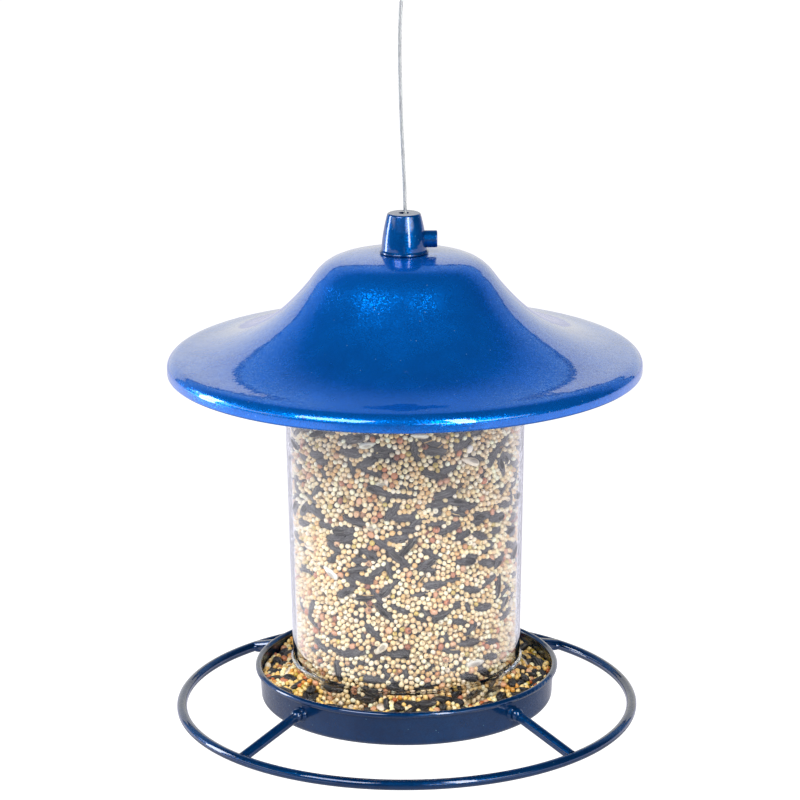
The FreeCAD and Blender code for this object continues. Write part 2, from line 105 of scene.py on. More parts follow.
class Shading:
    """Node tree of a material or world; most methods add a node and return its output."""

    def __init__(self, owner):
        owner.use_nodes = True
        self.owner = owner
        self.tree = owner.node_tree
        self.tree.nodes.clear()

    def node(self, kind, inputs=None, **props):
        node = self.tree.nodes.new("ShaderNode" + kind)
        for key, value in props.items():
            setattr(node, key, value)
        for key, value in (inputs or {}).items():
            if isinstance(value, bpy.types.NodeSocket):
                self.tree.links.new(value, node.inputs[key])
            else:
                node.inputs[key].default_value = value
        return node

    def position(self):
        return self.node("TexCoord").outputs["Object"]

    def attribute(self, name, output="Vector"):
        return self.node("Attribute", attribute_name=name).outputs[output]

    def noise(self, place, scale, detail=3.0, rough=0.55):
        return self.node("TexNoise", {"Vector": place, "Scale": scale, "Detail": detail,
                                      "Roughness": rough}).outputs["Fac"]

    def stretch(self, place, scale):
        return self.node("Mapping", {"Vector": place, "Scale": scale}).outputs[0]

    def math(self, op, a, b=0.0):
        return self.node("Math", {0: a, 1: b}, operation=op).outputs[0]

    def times(self, a, b):
        return self.math("MULTIPLY", a, b)

    def plus(self, a, b):
        return self.math("ADD", a, b)

    def vector(self, op, inputs, output=0):
        return self.node("VectorMath", inputs, operation=op).outputs[output]

    def xyz(self, vector):
        return self.node("SeparateXYZ", {"Vector": vector}).outputs

    def rgb(self, color):
        return self.node("SeparateColor", {"Color": color}).outputs

    def ramp(self, fac, stops, mode="LINEAR"):
        node = self.node("ValToRGB", {"Fac": fac})
        stop_list = node.color_ramp.elements
        node.color_ramp.interpolation = mode
        while len(stop_list) < len(stops):
            stop_list.new(0.5)
        for stop, (place, color) in zip(stop_list, stops):
            stop.position = place
            stop.color = color
        return node.outputs["Color"]

    def remap(self, value, span, to=(0.0, 1.0), curve="LINEAR"):
        """Carries span to the range to, held at both ends."""
        return self.node("MapRange", {"Value": value, "From Min": span[0], "From Max": span[1],
                                      "To Min": to[0], "To Max": to[1]},
                         interpolation_type=curve).outputs["Result"]

    def ease(self, value, span, to=(0.0, 1.0)):
        return self.remap(value, span, to, "SMOOTHSTEP")

    def mix(self, fac, a, b, mode="MIX"):
        return self.node("Mix", {0: fac, 6: a, 7: b}, data_type="RGBA", blend_type=mode).outputs[2]

    def mix_value(self, fac, a, b):
        return self.node("Mix", {0: fac, 2: a, 3: b}, data_type="FLOAT").outputs[0]

    def bump(self, height, distance, strength=1.0):
        return self.node("Bump", {"Height": height, "Distance": distance,
                                  "Strength": strength}).outputs["Normal"]

    def glossy(self):
        return self.node("LightPath").outputs["Is Glossy Ray"]

    def seen(self):
        """1 for what the camera sees directly or through the clear hopper."""
        path = self.node("LightPath")
        return self.math("MAXIMUM", path.outputs["Is Camera Ray"],
                         path.outputs["Is Transmission Ray"])

    def principled(self, inputs):
        return self.node("BsdfPrincipled", inputs).outputs[0]

    def finish(self, shader, kind="OutputMaterial"):
        self.node(kind, {"Surface": shader})
        return self.owner


def new_material(name):
    return Shading(bpy.data.materials.new(name))


# ------------------------------------------------------------------ materials
def metallic_paint(name, bright, deep, flake, metallic=0.55, rough=0.30, sparkle=0.5,
                   grime=0.0, foot_shade=None):
    """Metal-flake enamel under a clear coat; foot_shade is the (low, high) z of a band of painted
    shade at the foot, darkest at the low end.
    """
    mat = new_material(name)
    place = mat.position()
    # slow drift in the pigment and a slightly uneven film
    drift = mat.noise(place, scale=22.0, detail=2.0)
    film = mat.noise(place, scale=160.0)
    tone = mat.plus(mat.times(drift, 0.65), mat.times(film, 0.35))
    color = mat.mix(mat.remap(tone, span=(0.35, 0.65)), deep, bright)
    # flakes in two sizes: the small ones tilt and vary, a few of the large ones carry painted
    # glints
    small = mat.node("TexVoronoi", {"Vector": place, "Scale": 2300.0})
    large = mat.node("TexVoronoi", {"Vector": place, "Scale": 1250.0})
    speck = mat.remap(mat.rgb(small.outputs["Color"])[0], span=(0.0, 1.0), to=(0.86, 1.14))
    large_pick = mat.rgb(large.outputs["Color"])[1]
    color = mat.node("HueSaturation", {"Value": speck, "Color": color}).outputs["Color"]
    lit = mat.times(mat.math("GREATER_THAN", large_pick, 0.9915),
                    mat.math("LESS_THAN", large.outputs["Distance"], 0.28))
    color = mat.mix(mat.times(lit, sparkle), color, flake)
    if grime:
        dirt = mat.noise(place, scale=70.0, detail=5.0, rough=0.7)
        dust = mat.remap(dirt, span=(0.56, 0.75), to=(0.0, grime))
        color = mat.mix(dust, color, srgb(96, 98, 112))
    if foot_shade:
        # painted shade at the foot of the piece, darkest at the lower z
        z = mat.xyz(place)[2]
        color = mat.mix(mat.remap(z, span=foot_shade, to=(0.85, 0.0)), color, srgb(0, 14, 40))
    surface = mat.node("NewGeometry").outputs["Normal"]
    tilt = mat.vector("SUBTRACT", {0: small.outputs["Color"], 1: (0.5, 0.5, 0.5)})
    tilt = mat.vector("SCALE", {0: tilt, "Scale": 0.20})
    normal = mat.vector("NORMALIZE", {0: mat.vector("ADD", {0: surface, 1: tilt})})
    # clear coat with faint orange peel
    peel = mat.plus(mat.noise(place, scale=240.0, detail=2.0, rough=0.5),
                    mat.times(mat.noise(place, scale=60.0, detail=2.0), 1.2))
    coat_normal = mat.bump(peel, distance=0.00022, strength=0.16)
    base_rough = mat.remap(mat.noise(place, scale=95.0, detail=4.0), span=(0.3, 0.7),
                           to=(rough - 0.04, rough + 0.05))
    coat_rough = mat.remap(mat.noise(place, scale=35.0, detail=4.0, rough=0.65),
                           span=(0.35, 0.75), to=(0.02, 0.07))
    return mat.finish(mat.principled({
        "Base Color": color, "Metallic": metallic, "Roughness": base_rough, "Normal": normal,
        "Coat Weight": 1.0, "Coat Roughness": coat_rough, "Coat IOR": 1.55,
        "Coat Normal": coat_normal, "Specular IOR Level": 0.0}))


def steel(name, color, rough, streak_scale=(900, 900, 60), spots=0.25, strand_shade=False):
    """Plated or bare steel with drawing marks and dull spots. strand_shade paints shade
    between the strands by the attribute depth, 0 between the strands and 1 on their outsides."""
    mat = new_material(name)
    place = mat.position()
    streak = mat.noise(mat.stretch(place, streak_scale), scale=1.0, detail=4.0, rough=0.6)
    blotch = mat.noise(place, scale=420.0, detail=4.0, rough=0.6)
    dark = tuple(c * 0.62 for c in color[:3]) + (1.0,)
    light = tuple(min(1.0, c * 1.1) for c in color[:3]) + (1.0,)
    tone = mat.ramp(streak, [(0.3, dark), (0.52, color), (0.75, light)])
    tone = mat.mix(mat.remap(blotch, span=(0.5, 0.72), to=(0.0, spots)), tone, dark)
    if strand_shade:
        # painted shade between the strands, darkest where depth is 0
        depth = mat.xyz(mat.attribute("depth"))[0]
        tone = mat.mix(mat.remap(depth, span=(0.1, 0.62), to=(1.0, 0.0)), tone, srgb(46, 48, 50))
    return mat.finish(mat.principled({
        "Base Color": tone, "Metallic": 1.0,
        "Roughness": mat.remap(blotch, span=(0.3, 0.7), to=(rough - 0.08, rough + 0.12)),
        "Normal": mat.bump(streak, distance=0.00002, strength=0.6)}))


def clear_plastic(name):
    """Clear moulded plastic: bends what is behind it, lets light through to the seed."""
    mat = new_material(name)
    place = mat.position()
    wave = mat.noise(place, scale=14.0, detail=2.0)
    scuff = mat.noise(mat.stretch(place, (220, 220, 1600)), scale=1.0, detail=4.0, rough=0.7)
    z = mat.xyz(place)[2]
    # the thick lip bends more than the thin wall
    ior = mat.remap(z, span=(0.0258, 0.0275), to=(1.32, 1.10))
    rough = mat.remap(scuff, span=(0.55, 0.8), to=(0.0, 0.05))
    coat_rough = mat.remap(scuff, span=(0.45, 0.8), to=(0.015, 0.14))
    tint = mat.mix(mat.remap(wave, span=(0.3, 0.7)), (0.985, 0.988, 1.0, 1),
                   (0.97, 0.975, 0.99, 1))
    facing = mat.node("LayerWeight", {"Blend": 0.5}).outputs["Facing"]
    tint = mat.mix(mat.remap(facing, span=(0.62, 0.88)), tint, (0.68, 0.70, 0.78, 1))
    # painted shade along the lip's edge, seen end on
    lip_shade = mat.times(mat.remap(z, span=(0.0238, 0.0240)),
                    mat.remap(z, span=(0.0247, 0.0251), to=(1.0, 0.0)))
    tint = mat.mix(mat.times(lip_shade, 0.85), tint, (0.22, 0.20, 0.19, 1))
    normal = mat.bump(wave, distance=0.0006, strength=0.35)
    plastic = mat.principled({
        "Base Color": tint, "Roughness": rough, "IOR": ior, "Transmission Weight": 1.0,
        "Normal": normal, "Coat Weight": 1.0, "Coat IOR": 1.52, "Coat Roughness": coat_rough,
        "Coat Normal": normal})
    clear = mat.node("BsdfTransparent", {"Color": (0.97, 0.975, 0.985, 1)})
    path = mat.node("LightPath")
    through = mat.math("MAXIMUM", path.outputs["Is Shadow Ray"], path.outputs["Is Diffuse Ray"])
    mixed = mat.node("MixShader", {0: through, 1: plastic, 2: clear.outputs[0]})
    return mat.finish(mixed.outputs[0])


# Seed coats: attribute tint is each grain's own colour, loc its own coordinates.
def sunflower_husk(name):
    mat = new_material(name)
    tint = mat.attribute("tint", "Color")
    loc = mat.attribute("loc")
    fine = mat.noise(mat.position(), scale=2600.0, rough=0.6)
    # long stripes that run from tip to tip
    stripe = mat.noise(mat.stretch(loc, (0.55, 5.2, 5.2)), scale=1.0, detail=2.0, rough=0.5)
    color = mat.mix(mat.remap(stripe, span=(0.52, 0.60), to=(0.0, 0.7)), tint,
                    srgb(116, 114, 112))
    color = mat.mix(mat.remap(fine, span=(0.4, 0.7), to=(0.0, 0.30)), color, srgb(50, 48, 50))
    tip = mat.remap(mat.xyz(loc)[0], span=(0.84, 1.0), to=(0.0, 0.5))
    color = mat.mix(tip, color, srgb(120, 112, 100))
    relief = mat.plus(stripe, mat.times(fine, 0.5))
    return mat.finish(mat.principled({
        "Base Color": color, "Roughness": mat.remap(fine, span=(0.3, 0.7), to=(0.42, 0.62)),
        "Normal": mat.bump(relief, distance=0.00018, strength=0.7),
        "Specular IOR Level": 0.35}))


def straw_sliver(name):
    mat = new_material(name)
    tint = mat.attribute("tint", "Color")
    fibre = mat.noise(mat.stretch(mat.attribute("loc"), (1.5, 9, 9)), scale=1.0)
    color = mat.mix(mat.remap(fibre, span=(0.35, 0.7), to=(0.0, 0.6)), tint, srgb(150, 118, 70))
    return mat.finish(mat.principled({
        "Base Color": color, "Roughness": mat.remap(fibre, span=(0.3, 0.7), to=(0.45, 0.7)),
        "Normal": mat.bump(fibre, distance=0.0001, strength=0.6)}))


def round_shell(name, eye_strength, eye_color):
    """Smooth mottled shell with a small dark eye at one end."""
    mat = new_material(name)
    tint = mat.attribute("tint", "Color")
    place = mat.position()
    fine = mat.noise(place, scale=2600.0, rough=0.6)
    eye = mat.remap(mat.xyz(mat.attribute("loc"))[2], span=(0.80, 0.97), to=(0.0, eye_strength))
    mottle = mat.noise(place, scale=900.0, rough=0.6)
    color = mat.mix(mat.remap(mottle, span=(0.45, 0.75), to=(0.0, 0.30)), tint,
                    mat.mix(0.5, tint, srgb(112, 78, 40)))
    color = mat.mix(eye, color, eye_color)
    return mat.finish(mat.principled({
        "Base Color": color, "Roughness": mat.remap(fine, span=(0.3, 0.7), to=(0.26, 0.42)),
        "Normal": mat.bump(mottle, distance=0.00012, strength=0.5),
        "Coat Weight": 0.25, "Coat Roughness": 0.16}))


def seed_in_shade(name):
    """What shows in the gaps between grains: the next grains down, in shade."""
    mat = new_material(name)
    cells = mat.node("TexVoronoi", {"Vector": mat.position(), "Scale": 420.0, "Randomness": 1.0})
    pick = mat.rgb(cells.outputs["Color"])[0]
    distance = cells.outputs["Distance"]
    grain = mat.ramp(pick, [(0.0, srgb(40, 34, 30)), (0.18, srgb(44, 38, 34)),
                            (0.2, srgb(128, 94, 52)), (0.7, srgb(150, 114, 66)),
                            (0.9, srgb(122, 66, 34))], "CONSTANT")
    shade = mat.remap(distance, span=(0.1, 0.62), to=(1.0, 0.16))
    grey = mat.node("CombineColor", {0: shade, 1: shade, 2: shade}).outputs[0]
    return mat.finish(mat.principled({
        "Base Color": mat.mix(1.0, grain, grey, "MULTIPLY"),
        "Roughness": mat.remap(pick, span=(0, 1), to=(0.5, 0.8)),
        "Normal": mat.bump(distance, distance=0.0016)}))


ROOF_PAINT = metallic_paint("roof_enamel", bright=srgb(0, 112, 216), deep=srgb(0, 100, 196),
                            flake=srgb(190, 232, 255), metallic=0.70, rough=0.25)
# the lock gets painted shade along its foot, where it sits on the roof
LOCK_PAINT = metallic_paint("lock_enamel", bright=srgb(0, 74, 142), deep=srgb(0, 60, 120),
                            flake=srgb(150, 215, 240), sparkle=0.3, foot_shade=(0.2156, 0.2173))
BASE_PAINT = metallic_paint("base_enamel", bright=srgb(2, 54, 102), deep=srgb(2, 38, 80),
                            flake=srgb(130, 190, 215), sparkle=0.35, grime=0.05)
ZINC = steel("zinc_plate", srgb(176, 178, 184), rough=0.34)
CRIMP = steel("crimp_alloy", srgb(198, 200, 204), rough=0.38, streak_scale=(400, 400, 700))
# the rope wire gets painted shade in the grooves between its strands
ROPE_WIRE = steel("galvanised_wire", srgb(182, 185, 186), rough=0.42,
                  streak_scale=(2400, 2400, 300), spots=0.35, strand_shade=True)
CLEAR = clear_plastic("clear_plastic")
MILLET = round_shell("millet_shell", eye_strength=0.55, eye_color=srgb(92, 62, 34))
MILO = round_shell("milo_shell", eye_strength=0.8, eye_color=srgb(58, 24, 14))
SUNFLOWER = sunflower_husk("sunflower_husk")
STRAW = straw_sliver("straw_sliver")
SHADED_SEED = seed_in_shade("seed_in_shade")

# finish, CAD pieces that wear it
FINISHES = [
    (ROOF_PAINT, ["roof"]),
    (LOCK_PAINT, ["lock_housing", "lock_button"]),
    (BASE_PAINT, ["tray", "perch_ring", "spoke_front_left", "spoke_front_right",
                  "spoke_back_left", "spoke_back_right", "tray_weld_beads", "ring_weld_beads"]),
    (CRIMP, ["loop_ferrule", "cable_end_stop"]),
    (ZINC, ["stop_washer", "lock_washer", "lock_nut", "tube_screws"]),
    (CLEAR, ["reservoir_tube"]),
]
for finish, names in FINISHES:
    for name in names:
        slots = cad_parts[name].data.materials
        slots.clear()
        slots.append(finish)


# --------------------------------------------------------------- mesh helpers
def mesh_object(name, verts, faces, mat, attrs=None):
    """Smooth mesh; verts in mm, faces an (n, 3) or (n, 4) array or a list of those.
    attrs: name to (attribute type, values)."""
    if not isinstance(faces, list):
        faces = [faces]
    mesh = bpy.data.meshes.new(name)
    mesh.vertices.add(len(verts))
    mesh.vertices.foreach_set("co", (np.asarray(verts, float) * MM).astype(np.float32).ravel())
    sizes = np.concatenate([np.full(len(f), f.shape[1], np.int32) for f in faces])
    starts = np.concatenate([[0], np.cumsum(sizes)[:-1]]).astype(np.int32)
    loops = np.concatenate([f.ravel() for f in faces]).astype(np.int32)
    mesh.loops.add(len(loops))
    mesh.loops.foreach_set("vertex_index", loops)
    mesh.polygons.add(len(sizes))
    mesh.polygons.foreach_set("loop_start", starts)
    mesh.update(calc_edges=True)
    mesh.polygons.foreach_set("use_smooth", np.full(len(sizes), True))
    for key, (kind, values) in (attrs or {}).items():
        attribute = mesh.attributes.new(key, kind, "POINT")
        field = "color" if kind == "FLOAT_COLOR" else "vector"
        attribute.data.foreach_set(field, np.asarray(values, np.float32).ravel())
    mesh.validate()
    piece = bpy.data.objects.new(name, mesh)
    scene.collection.objects.link(piece)
    mesh.materials.append(mat)
    return piece


def grid_faces(rows, cols, wrap_rows=False):
    """Quads of a grid whose columns close round."""
    row = np.arange(rows if wrap_rows else rows - 1)[:, None]
    col = np.arange(cols)[None, :]
    next_row = ((row + 1) % rows) * cols
    next_col = (col + 1) % cols
    corners = [row * cols + col, row * cols + next_col, next_row + next_col, next_row + col]
    return np.stack(corners, -1).reshape(-1, 4)


def ring_angles(count):
    return np.linspace(0, TURN, count, endpoint=False)


def cylindrical(radius, angle, z):
    points = np.broadcast_arrays(radius * np.cos(angle), radius * np.sin(angle), z)
    return np.stack(points, -1)


def radial_axes(angle):
    """Unit vectors outwards and anticlockwise along the circle."""
    cos, sin = math.cos(angle), math.sin(angle)
    return np.array([cos, sin, 0]), np.array([-sin, cos, 0])


def lathe(profile, segments):
    """Closed profile of (r, z) turned about Z; anticlockwise in the r-z plane faces outwards."""
    profile = np.asarray(profile, float)
    verts = cylindrical(profile[:, None, 0], ring_angles(segments), profile[:, None, 1])
    return verts.reshape(-1, 3), grid_faces(len(profile), segments, wrap_rows=True)


def path_frames(path):
    """Two axes across the path that don't twist about it, and the length along it."""
    tangent = np.gradient(path, axis=0)
    tangent /= np.linalg.norm(tangent, axis=1)[:, None]
    across = np.zeros_like(path)
    start = np.array([0.0, 1.0, 0.0]) if abs(tangent[0][1]) < 0.9 else np.array([1.0, 0, 0])
    across[0] = start - tangent[0] * (start @ tangent[0])
    across[0] /= np.linalg.norm(across[0])
    for i in range(1, len(path)):
        turned = across[i - 1] - tangent[i] * (across[i - 1] @ tangent[i])
        across[i] = turned / np.linalg.norm(turned)
    steps = np.linalg.norm(np.diff(path, axis=0), axis=1)
    return across, np.cross(tangent, across), np.concatenate([[0], np.cumsum(steps)])


def tube_along(path, radius, sides, lobes=0, lobe_depth=0.0, lobe_turn=0.0):
    """Capped tube along a path; lobes ripple its section and turn lobe_turn radians per mm."""
    count = len(path)
    across, third, length = path_frames(path)
    angle = ring_angles(sides)[None, :]
    ring = radius * (1 + lobe_depth * np.cos(lobes * angle - (length * lobe_turn)[:, None]))
    verts = path[:, None] + ring[..., None] * (
        np.cos(angle)[..., None] * across[:, None] + np.sin(angle)[..., None] * third[:, None])
    verts = np.concatenate([verts.reshape(-1, 3), path[:1], path[-1:]])
    side = np.arange(sides)
    after = (side + 1) % sides
    last = (count - 1) * sides
    faces = [grid_faces(count, sides),
             np.stack([np.full(sides, count * sides), after, side], -1),
             np.stack([np.full(sides, count * sides + 1), last + side, last + after], -1)]
    return verts, faces


def join_parts(parts):
    """parts: list of (verts, faces or list of faces); same-size faces are merged."""
    verts, groups, offset = [], {}, 0
    for part_verts, part_faces in parts:
        verts.append(part_verts)
        for faces in (part_faces if isinstance(part_faces, list) else [part_faces]):
            groups.setdefault(faces.shape[1], []).append(faces + offset)
        offset += len(part_verts)
    return np.concatenate(verts), [np.concatenate(group) for group in groups.values()]


# ----------------------------------------------------------------------- roof
# outer profile: radius, height above the hem's underside, slope in degrees;
# two arcs run between neighbours
ROOF_KNOTS = [
    (12.0, 53.95, 0.0), (24.32, 52.81, -8.27), (36.51, 48.28, -38.78), (44.95, 38.34, -49.86),
    (63.82, 20.87, -32.78), (98.38, 8.68, -6.69), (106.94, 5.26, -59.76), (107.45, 1.1, -91.72),
]
ROOF_R = 107.5                  # radius the profile is drawn to
ROOF_SHEET = 0.8
HEM_R, HEM_CENTRE = 1.05, np.array([106.45, 1.05])
HEM_SWEEP = 281                 # degrees the rolled hem turns through
ROOF_HOLE_R = 4.2


def biarc_joint(upper, lower):
    """Point where the two arcs between neighbouring knots meet."""
    slopes = [math.radians(knot[2]) for knot in (upper, lower)]
    start, end = (np.array([math.cos(s), math.sin(s)]) for s in slopes)
    chord = np.array(lower[:2]) - np.array(upper[:2])
    along, bend = chord @ (start + end), 2.0 * (1.0 - start @ end)
    reach = (math.sqrt(along * along + bend * (chord @ chord)) - along) / bend
    return (np.array(upper[:2]) + np.array(lower[:2]) + reach * (start - end)) / 2.0


def roof_line(offset, step):
    """Profile from the top out to the hem, offset inwards from the outer face."""
    lines = []
    for upper, lower in zip(ROOF_KNOTS[:-1], ROOF_KNOTS[1:]):
        joint = biarc_joint(upper, lower)
        for knot in (upper, lower):
            point = np.array(knot[:2])
            slope = math.radians(knot[2])
            normal = np.array([-math.sin(slope), math.cos(slope)])
            chord = joint - point
            radius = (chord @ chord) / (2.0 * (normal @ chord))
            size = abs(radius)
            centre = point + normal * radius
            scale = (size + (offset if radius > 0 else -offset)) / size
            start = math.atan2(*(point - centre)[::-1])
            end = math.atan2(*(joint - centre)[::-1])
            sweep = (end - start + math.pi) % TURN - math.pi
            # at least one point per step of length and per 0.16 rad
            count = max(2, int(max(abs(sweep) * size / step, abs(sweep) / 0.16)))
            angle = start + sweep * np.linspace(0, 1, count + 1)
            arc = centre + size * scale * np.stack([np.cos(angle), np.sin(angle)], 1)
            lines.append(arc[::-1][:-1] if knot is lower else arc[:-1])
    end = np.array(ROOF_KNOTS[-1][:2]) + offset * np.array([-1.0, 0.03])
    return np.concatenate(lines + [[end]])


def build_roof():
    top = ROOF_KNOTS[0][1]
    under = top - ROOF_SHEET
    outer, inner = roof_line(0.0, step=2.2), roof_line(ROOF_SHEET, step=3.0)
    angle = np.radians(np.linspace(0, -HEM_SWEEP, 24))
    hem = HEM_CENTRE + HEM_R * np.stack([np.cos(angle), np.sin(angle)], 1)
    inner = inner[inner[:, 1] > hem[-1, 1] + 0.15][::-1]
    lip = ROOF_HOLE_R + 0.05
    profile = np.concatenate([
        [(ROOF_HOLE_R, top), (lip, top), (7.0, top), (10.0, top)],
        outer[:-1], hem, inner,
        [(8.0, under), (lip, under), (ROOF_HOLE_R, under)]])
    profile[:, 0] *= roof_hi[0] / ROOF_R
    profile[:, 1] += roof_lo[2]
    roof = mesh_object("roof_bell", *lathe(profile[::-1], 256), ROOF_PAINT)
    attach(roof, "lid")
    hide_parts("roof")


build_roof()

# ---------------------------------------------------------------------- welds
ROD_R = (ring_hi[2] - ring_lo[2]) / 2
RING_MID = ring_hi[0] - ROD_R
WELD_IN = 2.3                   # from the ring's centre line in to the fillet's middle
WELD_HALF = (3.0, 4.3, 2.52)    # half-sizes: radial, along the ring, up
WELD_LIFT = 0.12


def build_ring_welds():
    """Flat fillets, long along the ring, where the four spokes meet it."""
    random = np.random.default_rng(7)
    rows, cols = 13, 28
    half_r, half_along, half_up = WELD_HALF
    polar = np.linspace(0, math.pi, rows)[:, None]
    turn = ring_angles(cols)[None, :]
    parts = []
    for azimuth in (-135.0, -45.0, 45.0, 135.0):
        outward, along = radial_axes(math.radians(azimuth))
        ripple = np.sin(3 * turn + random.uniform(0, 6))
        uneven = 1.0 + 0.05 * ripple * np.sin(polar) ** 2
        radial = -WELD_IN + half_r * np.cos(polar) + 0 * turn
        taper = 0.72 + 0.28 * np.cos(polar)         # narrower at the inner end
        tangential = half_along * np.sin(polar) * np.cos(turn) * uneven * taper
        rise = half_up * np.sin(polar) * np.sin(turn) * uneven
        verts = ((RING_MID + radial)[..., None] * outward + tangential[..., None] * along
                 + (rise + ring_lo[2] + ROD_R + WELD_LIFT)[..., None] * UP)
        verts[..., 2] = np.maximum(verts[..., 2], ring_lo[2] + 0.02)
        parts.append((verts.reshape(-1, 3), grid_faces(rows, cols)[:, ::-1]))
    welds = mesh_object("ring_weld_fillets", *join_parts(parts), BASE_PAINT)
    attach(welds, "feeder_base")
    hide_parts("ring_weld_beads")


build_ring_welds()

# ------------------------------------------------------------------ wire rope
STRAND_LAY = 9.5                # mm per turn of a strand
WIRE_LAY = 3.2                  # mm per turn of the wires in a strand
PATH_STEP = 0.5
# height above the lock's top, sideways set of the rope
ROPE_SET = [
    (-20, 0), (-10, 0.02), (0, 0.55), (12, 0.35), (26, -0.25), (38, -0.75), (55, -1.25),
    (72, -1.5), (84, -1.25), (92, -0.85), (99, -0.32), (104, 0), (122, 0),
]


def smoothed(values, pad_mode):
    """Moving average with a rounded window."""
    window = np.hanning(25)
    window /= window.sum()
    return np.convolve(np.pad(values, 12, mode=pad_mode), window, "valid")


def catmull_rom(points):
    """Curve through all but the first and last of the 2D points."""
    curve = []
    for i in range(1, len(points) - 2):
        p0, p1, p2, p3 = points[i - 1:i + 3]
        count = max(2, int(np.linalg.norm(p2 - p1) / PATH_STEP))
        for t in np.linspace(0, 1, count, endpoint=False):
            curve.append(0.5 * ((2 * p1) + (p2 - p0) * t
                                + (2 * p0 - 5 * p1 + 4 * p2 - p3) * t * t
                                + (3 * p1 - p0 - 3 * p2 + p3) * t ** 3))
    return np.array(curve)


def rope_path():
    """Straight below the lock, a soft S above it, then the loop and the tail."""
    top = lock_hi[2]
    neck = ferrule_hi[2] + 1.0          # where the loop springs from
    heights = np.array([cable_lo[2] + 0.2] + [top + rise for rise, _ in ROPE_SET] + [neck])
    z = np.arange(heights[0], heights[-1], PATH_STEP)
    x = smoothed(np.interp(z, heights, [0] + [side for _, side in ROPE_SET] + [0]), "edge")
    y = 0.25 * np.interp(z, [top, top + 40, top + 80, top + 104], [0, 0.8, -0.6, 0])
    standing = np.stack([x, smoothed(y, "constant"), z], 1)
    # the loop, in the plane of the ferrule: x, z up its left side, then mirrored
    centre = (ferrule_lo[0] + ferrule_hi[0]) / 2
    half = (cable_hi[0] - cable_lo[0]) / 2 - ROPE_R
    left = np.array([
        (0, neck), (-0.9, neck + 3.6), (-5.6, neck + 13.0), (centre - half * 0.93, neck + 22.5),
        (centre - half, neck + 31.0), (centre - half * 0.70, neck + 39.5),
        (centre, cable_hi[2] - ROPE_R)])
    right = left[:-1][::-1].copy()
    right[:, 0] = 2 * centre - right[:, 0]
    below = np.array([0, 3])            # lead-in that keeps both ends upright
    loop = catmull_rom(np.concatenate([[left[0] - below], left, right, [right[-1] - below]]))
    loop = np.stack([loop[:, 0], np.zeros(len(loop)), loop[:, 1]], 1)
    tail_z = np.arange(neck, ferrule_lo[2] - 1.6, -PATH_STEP)
    flat = np.zeros(len(tail_z))
    tail = np.stack([flat + 2 * centre, flat, tail_z], 1)
    path = np.concatenate([standing, loop, tail])
    steps = np.linalg.norm(np.diff(path, axis=0), axis=1)
    return path[np.concatenate([[True], steps > 0.12])]


def build_rope():
    """Six strands about a core, with attribute depth for the shade between them."""
    path = rope_path()
    across, third, length = path_frames(path)
    strand_r = ROPE_R / 3.0
    orbit = ROPE_R - strand_r
    sides = 10
    parts, depths = [], []
    for k in range(6):
        angle = TURN * length / STRAND_LAY + k * math.pi / 3
        swing = np.cos(angle)[:, None] * across + np.sin(angle)[:, None] * third
        verts, faces = tube_along(path + orbit * 0.985 * swing, strand_r * 1.02, sides, lobes=5,
                                  lobe_depth=0.07, lobe_turn=TURN / WIRE_LAY)
        parts.append((verts, faces))
        rings = verts[:-2].reshape(len(path), sides, 3)
        out = np.linalg.norm(rings - path[:, None], axis=2) - (orbit - 0.25 * strand_r)
        depths.append(np.clip(out / (1.2 * strand_r), 0, 1).ravel())
        depths.append([0.5, 0.5])       # the centres of the two caps
    core = tube_along(path[::2], strand_r * 1.15, 6)
    parts.append(core)
    depths.append(np.zeros(len(core[0])))
    depth = np.repeat(np.concatenate(depths)[:, None], 3, 1)
    rope = mesh_object("wire_rope", *join_parts(parts), ROPE_WIRE,
                       attrs={"depth": ("FLOAT_VECTOR", depth)})
    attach(rope, "cable")
    rope.visible_glossy = False         # too fine to show in the paint
    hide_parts("hanging_cable")


build_rope()

# -------------------------------------------------------------- lock's spring
SPRING_WIRE_R = 0.25
SPRING_TURNS = 6.0


def build_spring():
    """Coil along X with closed ends, given a mesh of its own; pressing the button squashes the real
    spring.
    """
    start, end = spring_lo[0] + SPRING_WIRE_R, spring_hi[0] - SPRING_WIRE_R
    mean_r = (spring_hi[1] - spring_lo[1]) / 2 - SPRING_WIRE_R
    mid_z = (spring_lo[2] + spring_hi[2]) / 2
    t = np.linspace(0, 1, 360)
    along = np.interp(t, [0, 1 / SPRING_TURNS, 1 - 1 / SPRING_TURNS, 1], [0, 0.08, 0.92, 1])
    angle = TURN * SPRING_TURNS * t
    coil = np.stack([start + (end - start) * along, mean_r * np.cos(angle),
                     mid_z + mean_r * np.sin(angle)], 1)
    spring = mesh_object("lock_spring_coil", *tube_along(coil, SPRING_WIRE_R, 10), ZINC)
    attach(spring, "lid")
    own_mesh(spring)
    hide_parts("lock_spring")


build_spring()

# ---------------------------------------------------- spaces the seed lies in
rng = np.random.default_rng(41)         # every draw for the seed, in order
BORE_TOP = (tube_hi[0] - tube_lo[0]) / 2 - TUBE_WALL
DRAFT = 0.0165                          # the bore narrows by this per mm downwards
FILL = tube_hi[2] - 11.0                # top of the seed in the hopper
SHELL = 5.4                             # thickness of the modelled layer of grains
LEG_IN, LEG_OUT = 50.1, 51.9            # radii of the hopper's legs
LIP_Z = FLOOR_TOP + 18.3
LEG_COUNT = 5
LEG_PITCH = 360.0 / LEG_COUNT
LEG_FIRST = -31.75                      # degrees from the front
LEG_HALF = 15.9                         # half a leg's width, degrees


def wall_radius(z):
    z = np.asarray(z, float)
    bore = BORE_TOP - DRAFT * (tube_hi[2] - z)
    return np.where(z < LIP_Z + 2, LEG_IN, bore) - 0.06


def front_angle(x, y):
    """Degrees from the front, + towards the right."""
    return np.degrees(np.arctan2(x, -y))


def in_window(x, y, soft=3.0):
    """1 in front of a seed window, 0 at a leg."""
    half = LEG_PITCH / 2
    from_leg = np.abs((front_angle(x, y) - LEG_FIRST + half) % LEG_PITCH - half)
    return np.clip((from_leg - LEG_HALF) / soft + 0.5, 0, 1)


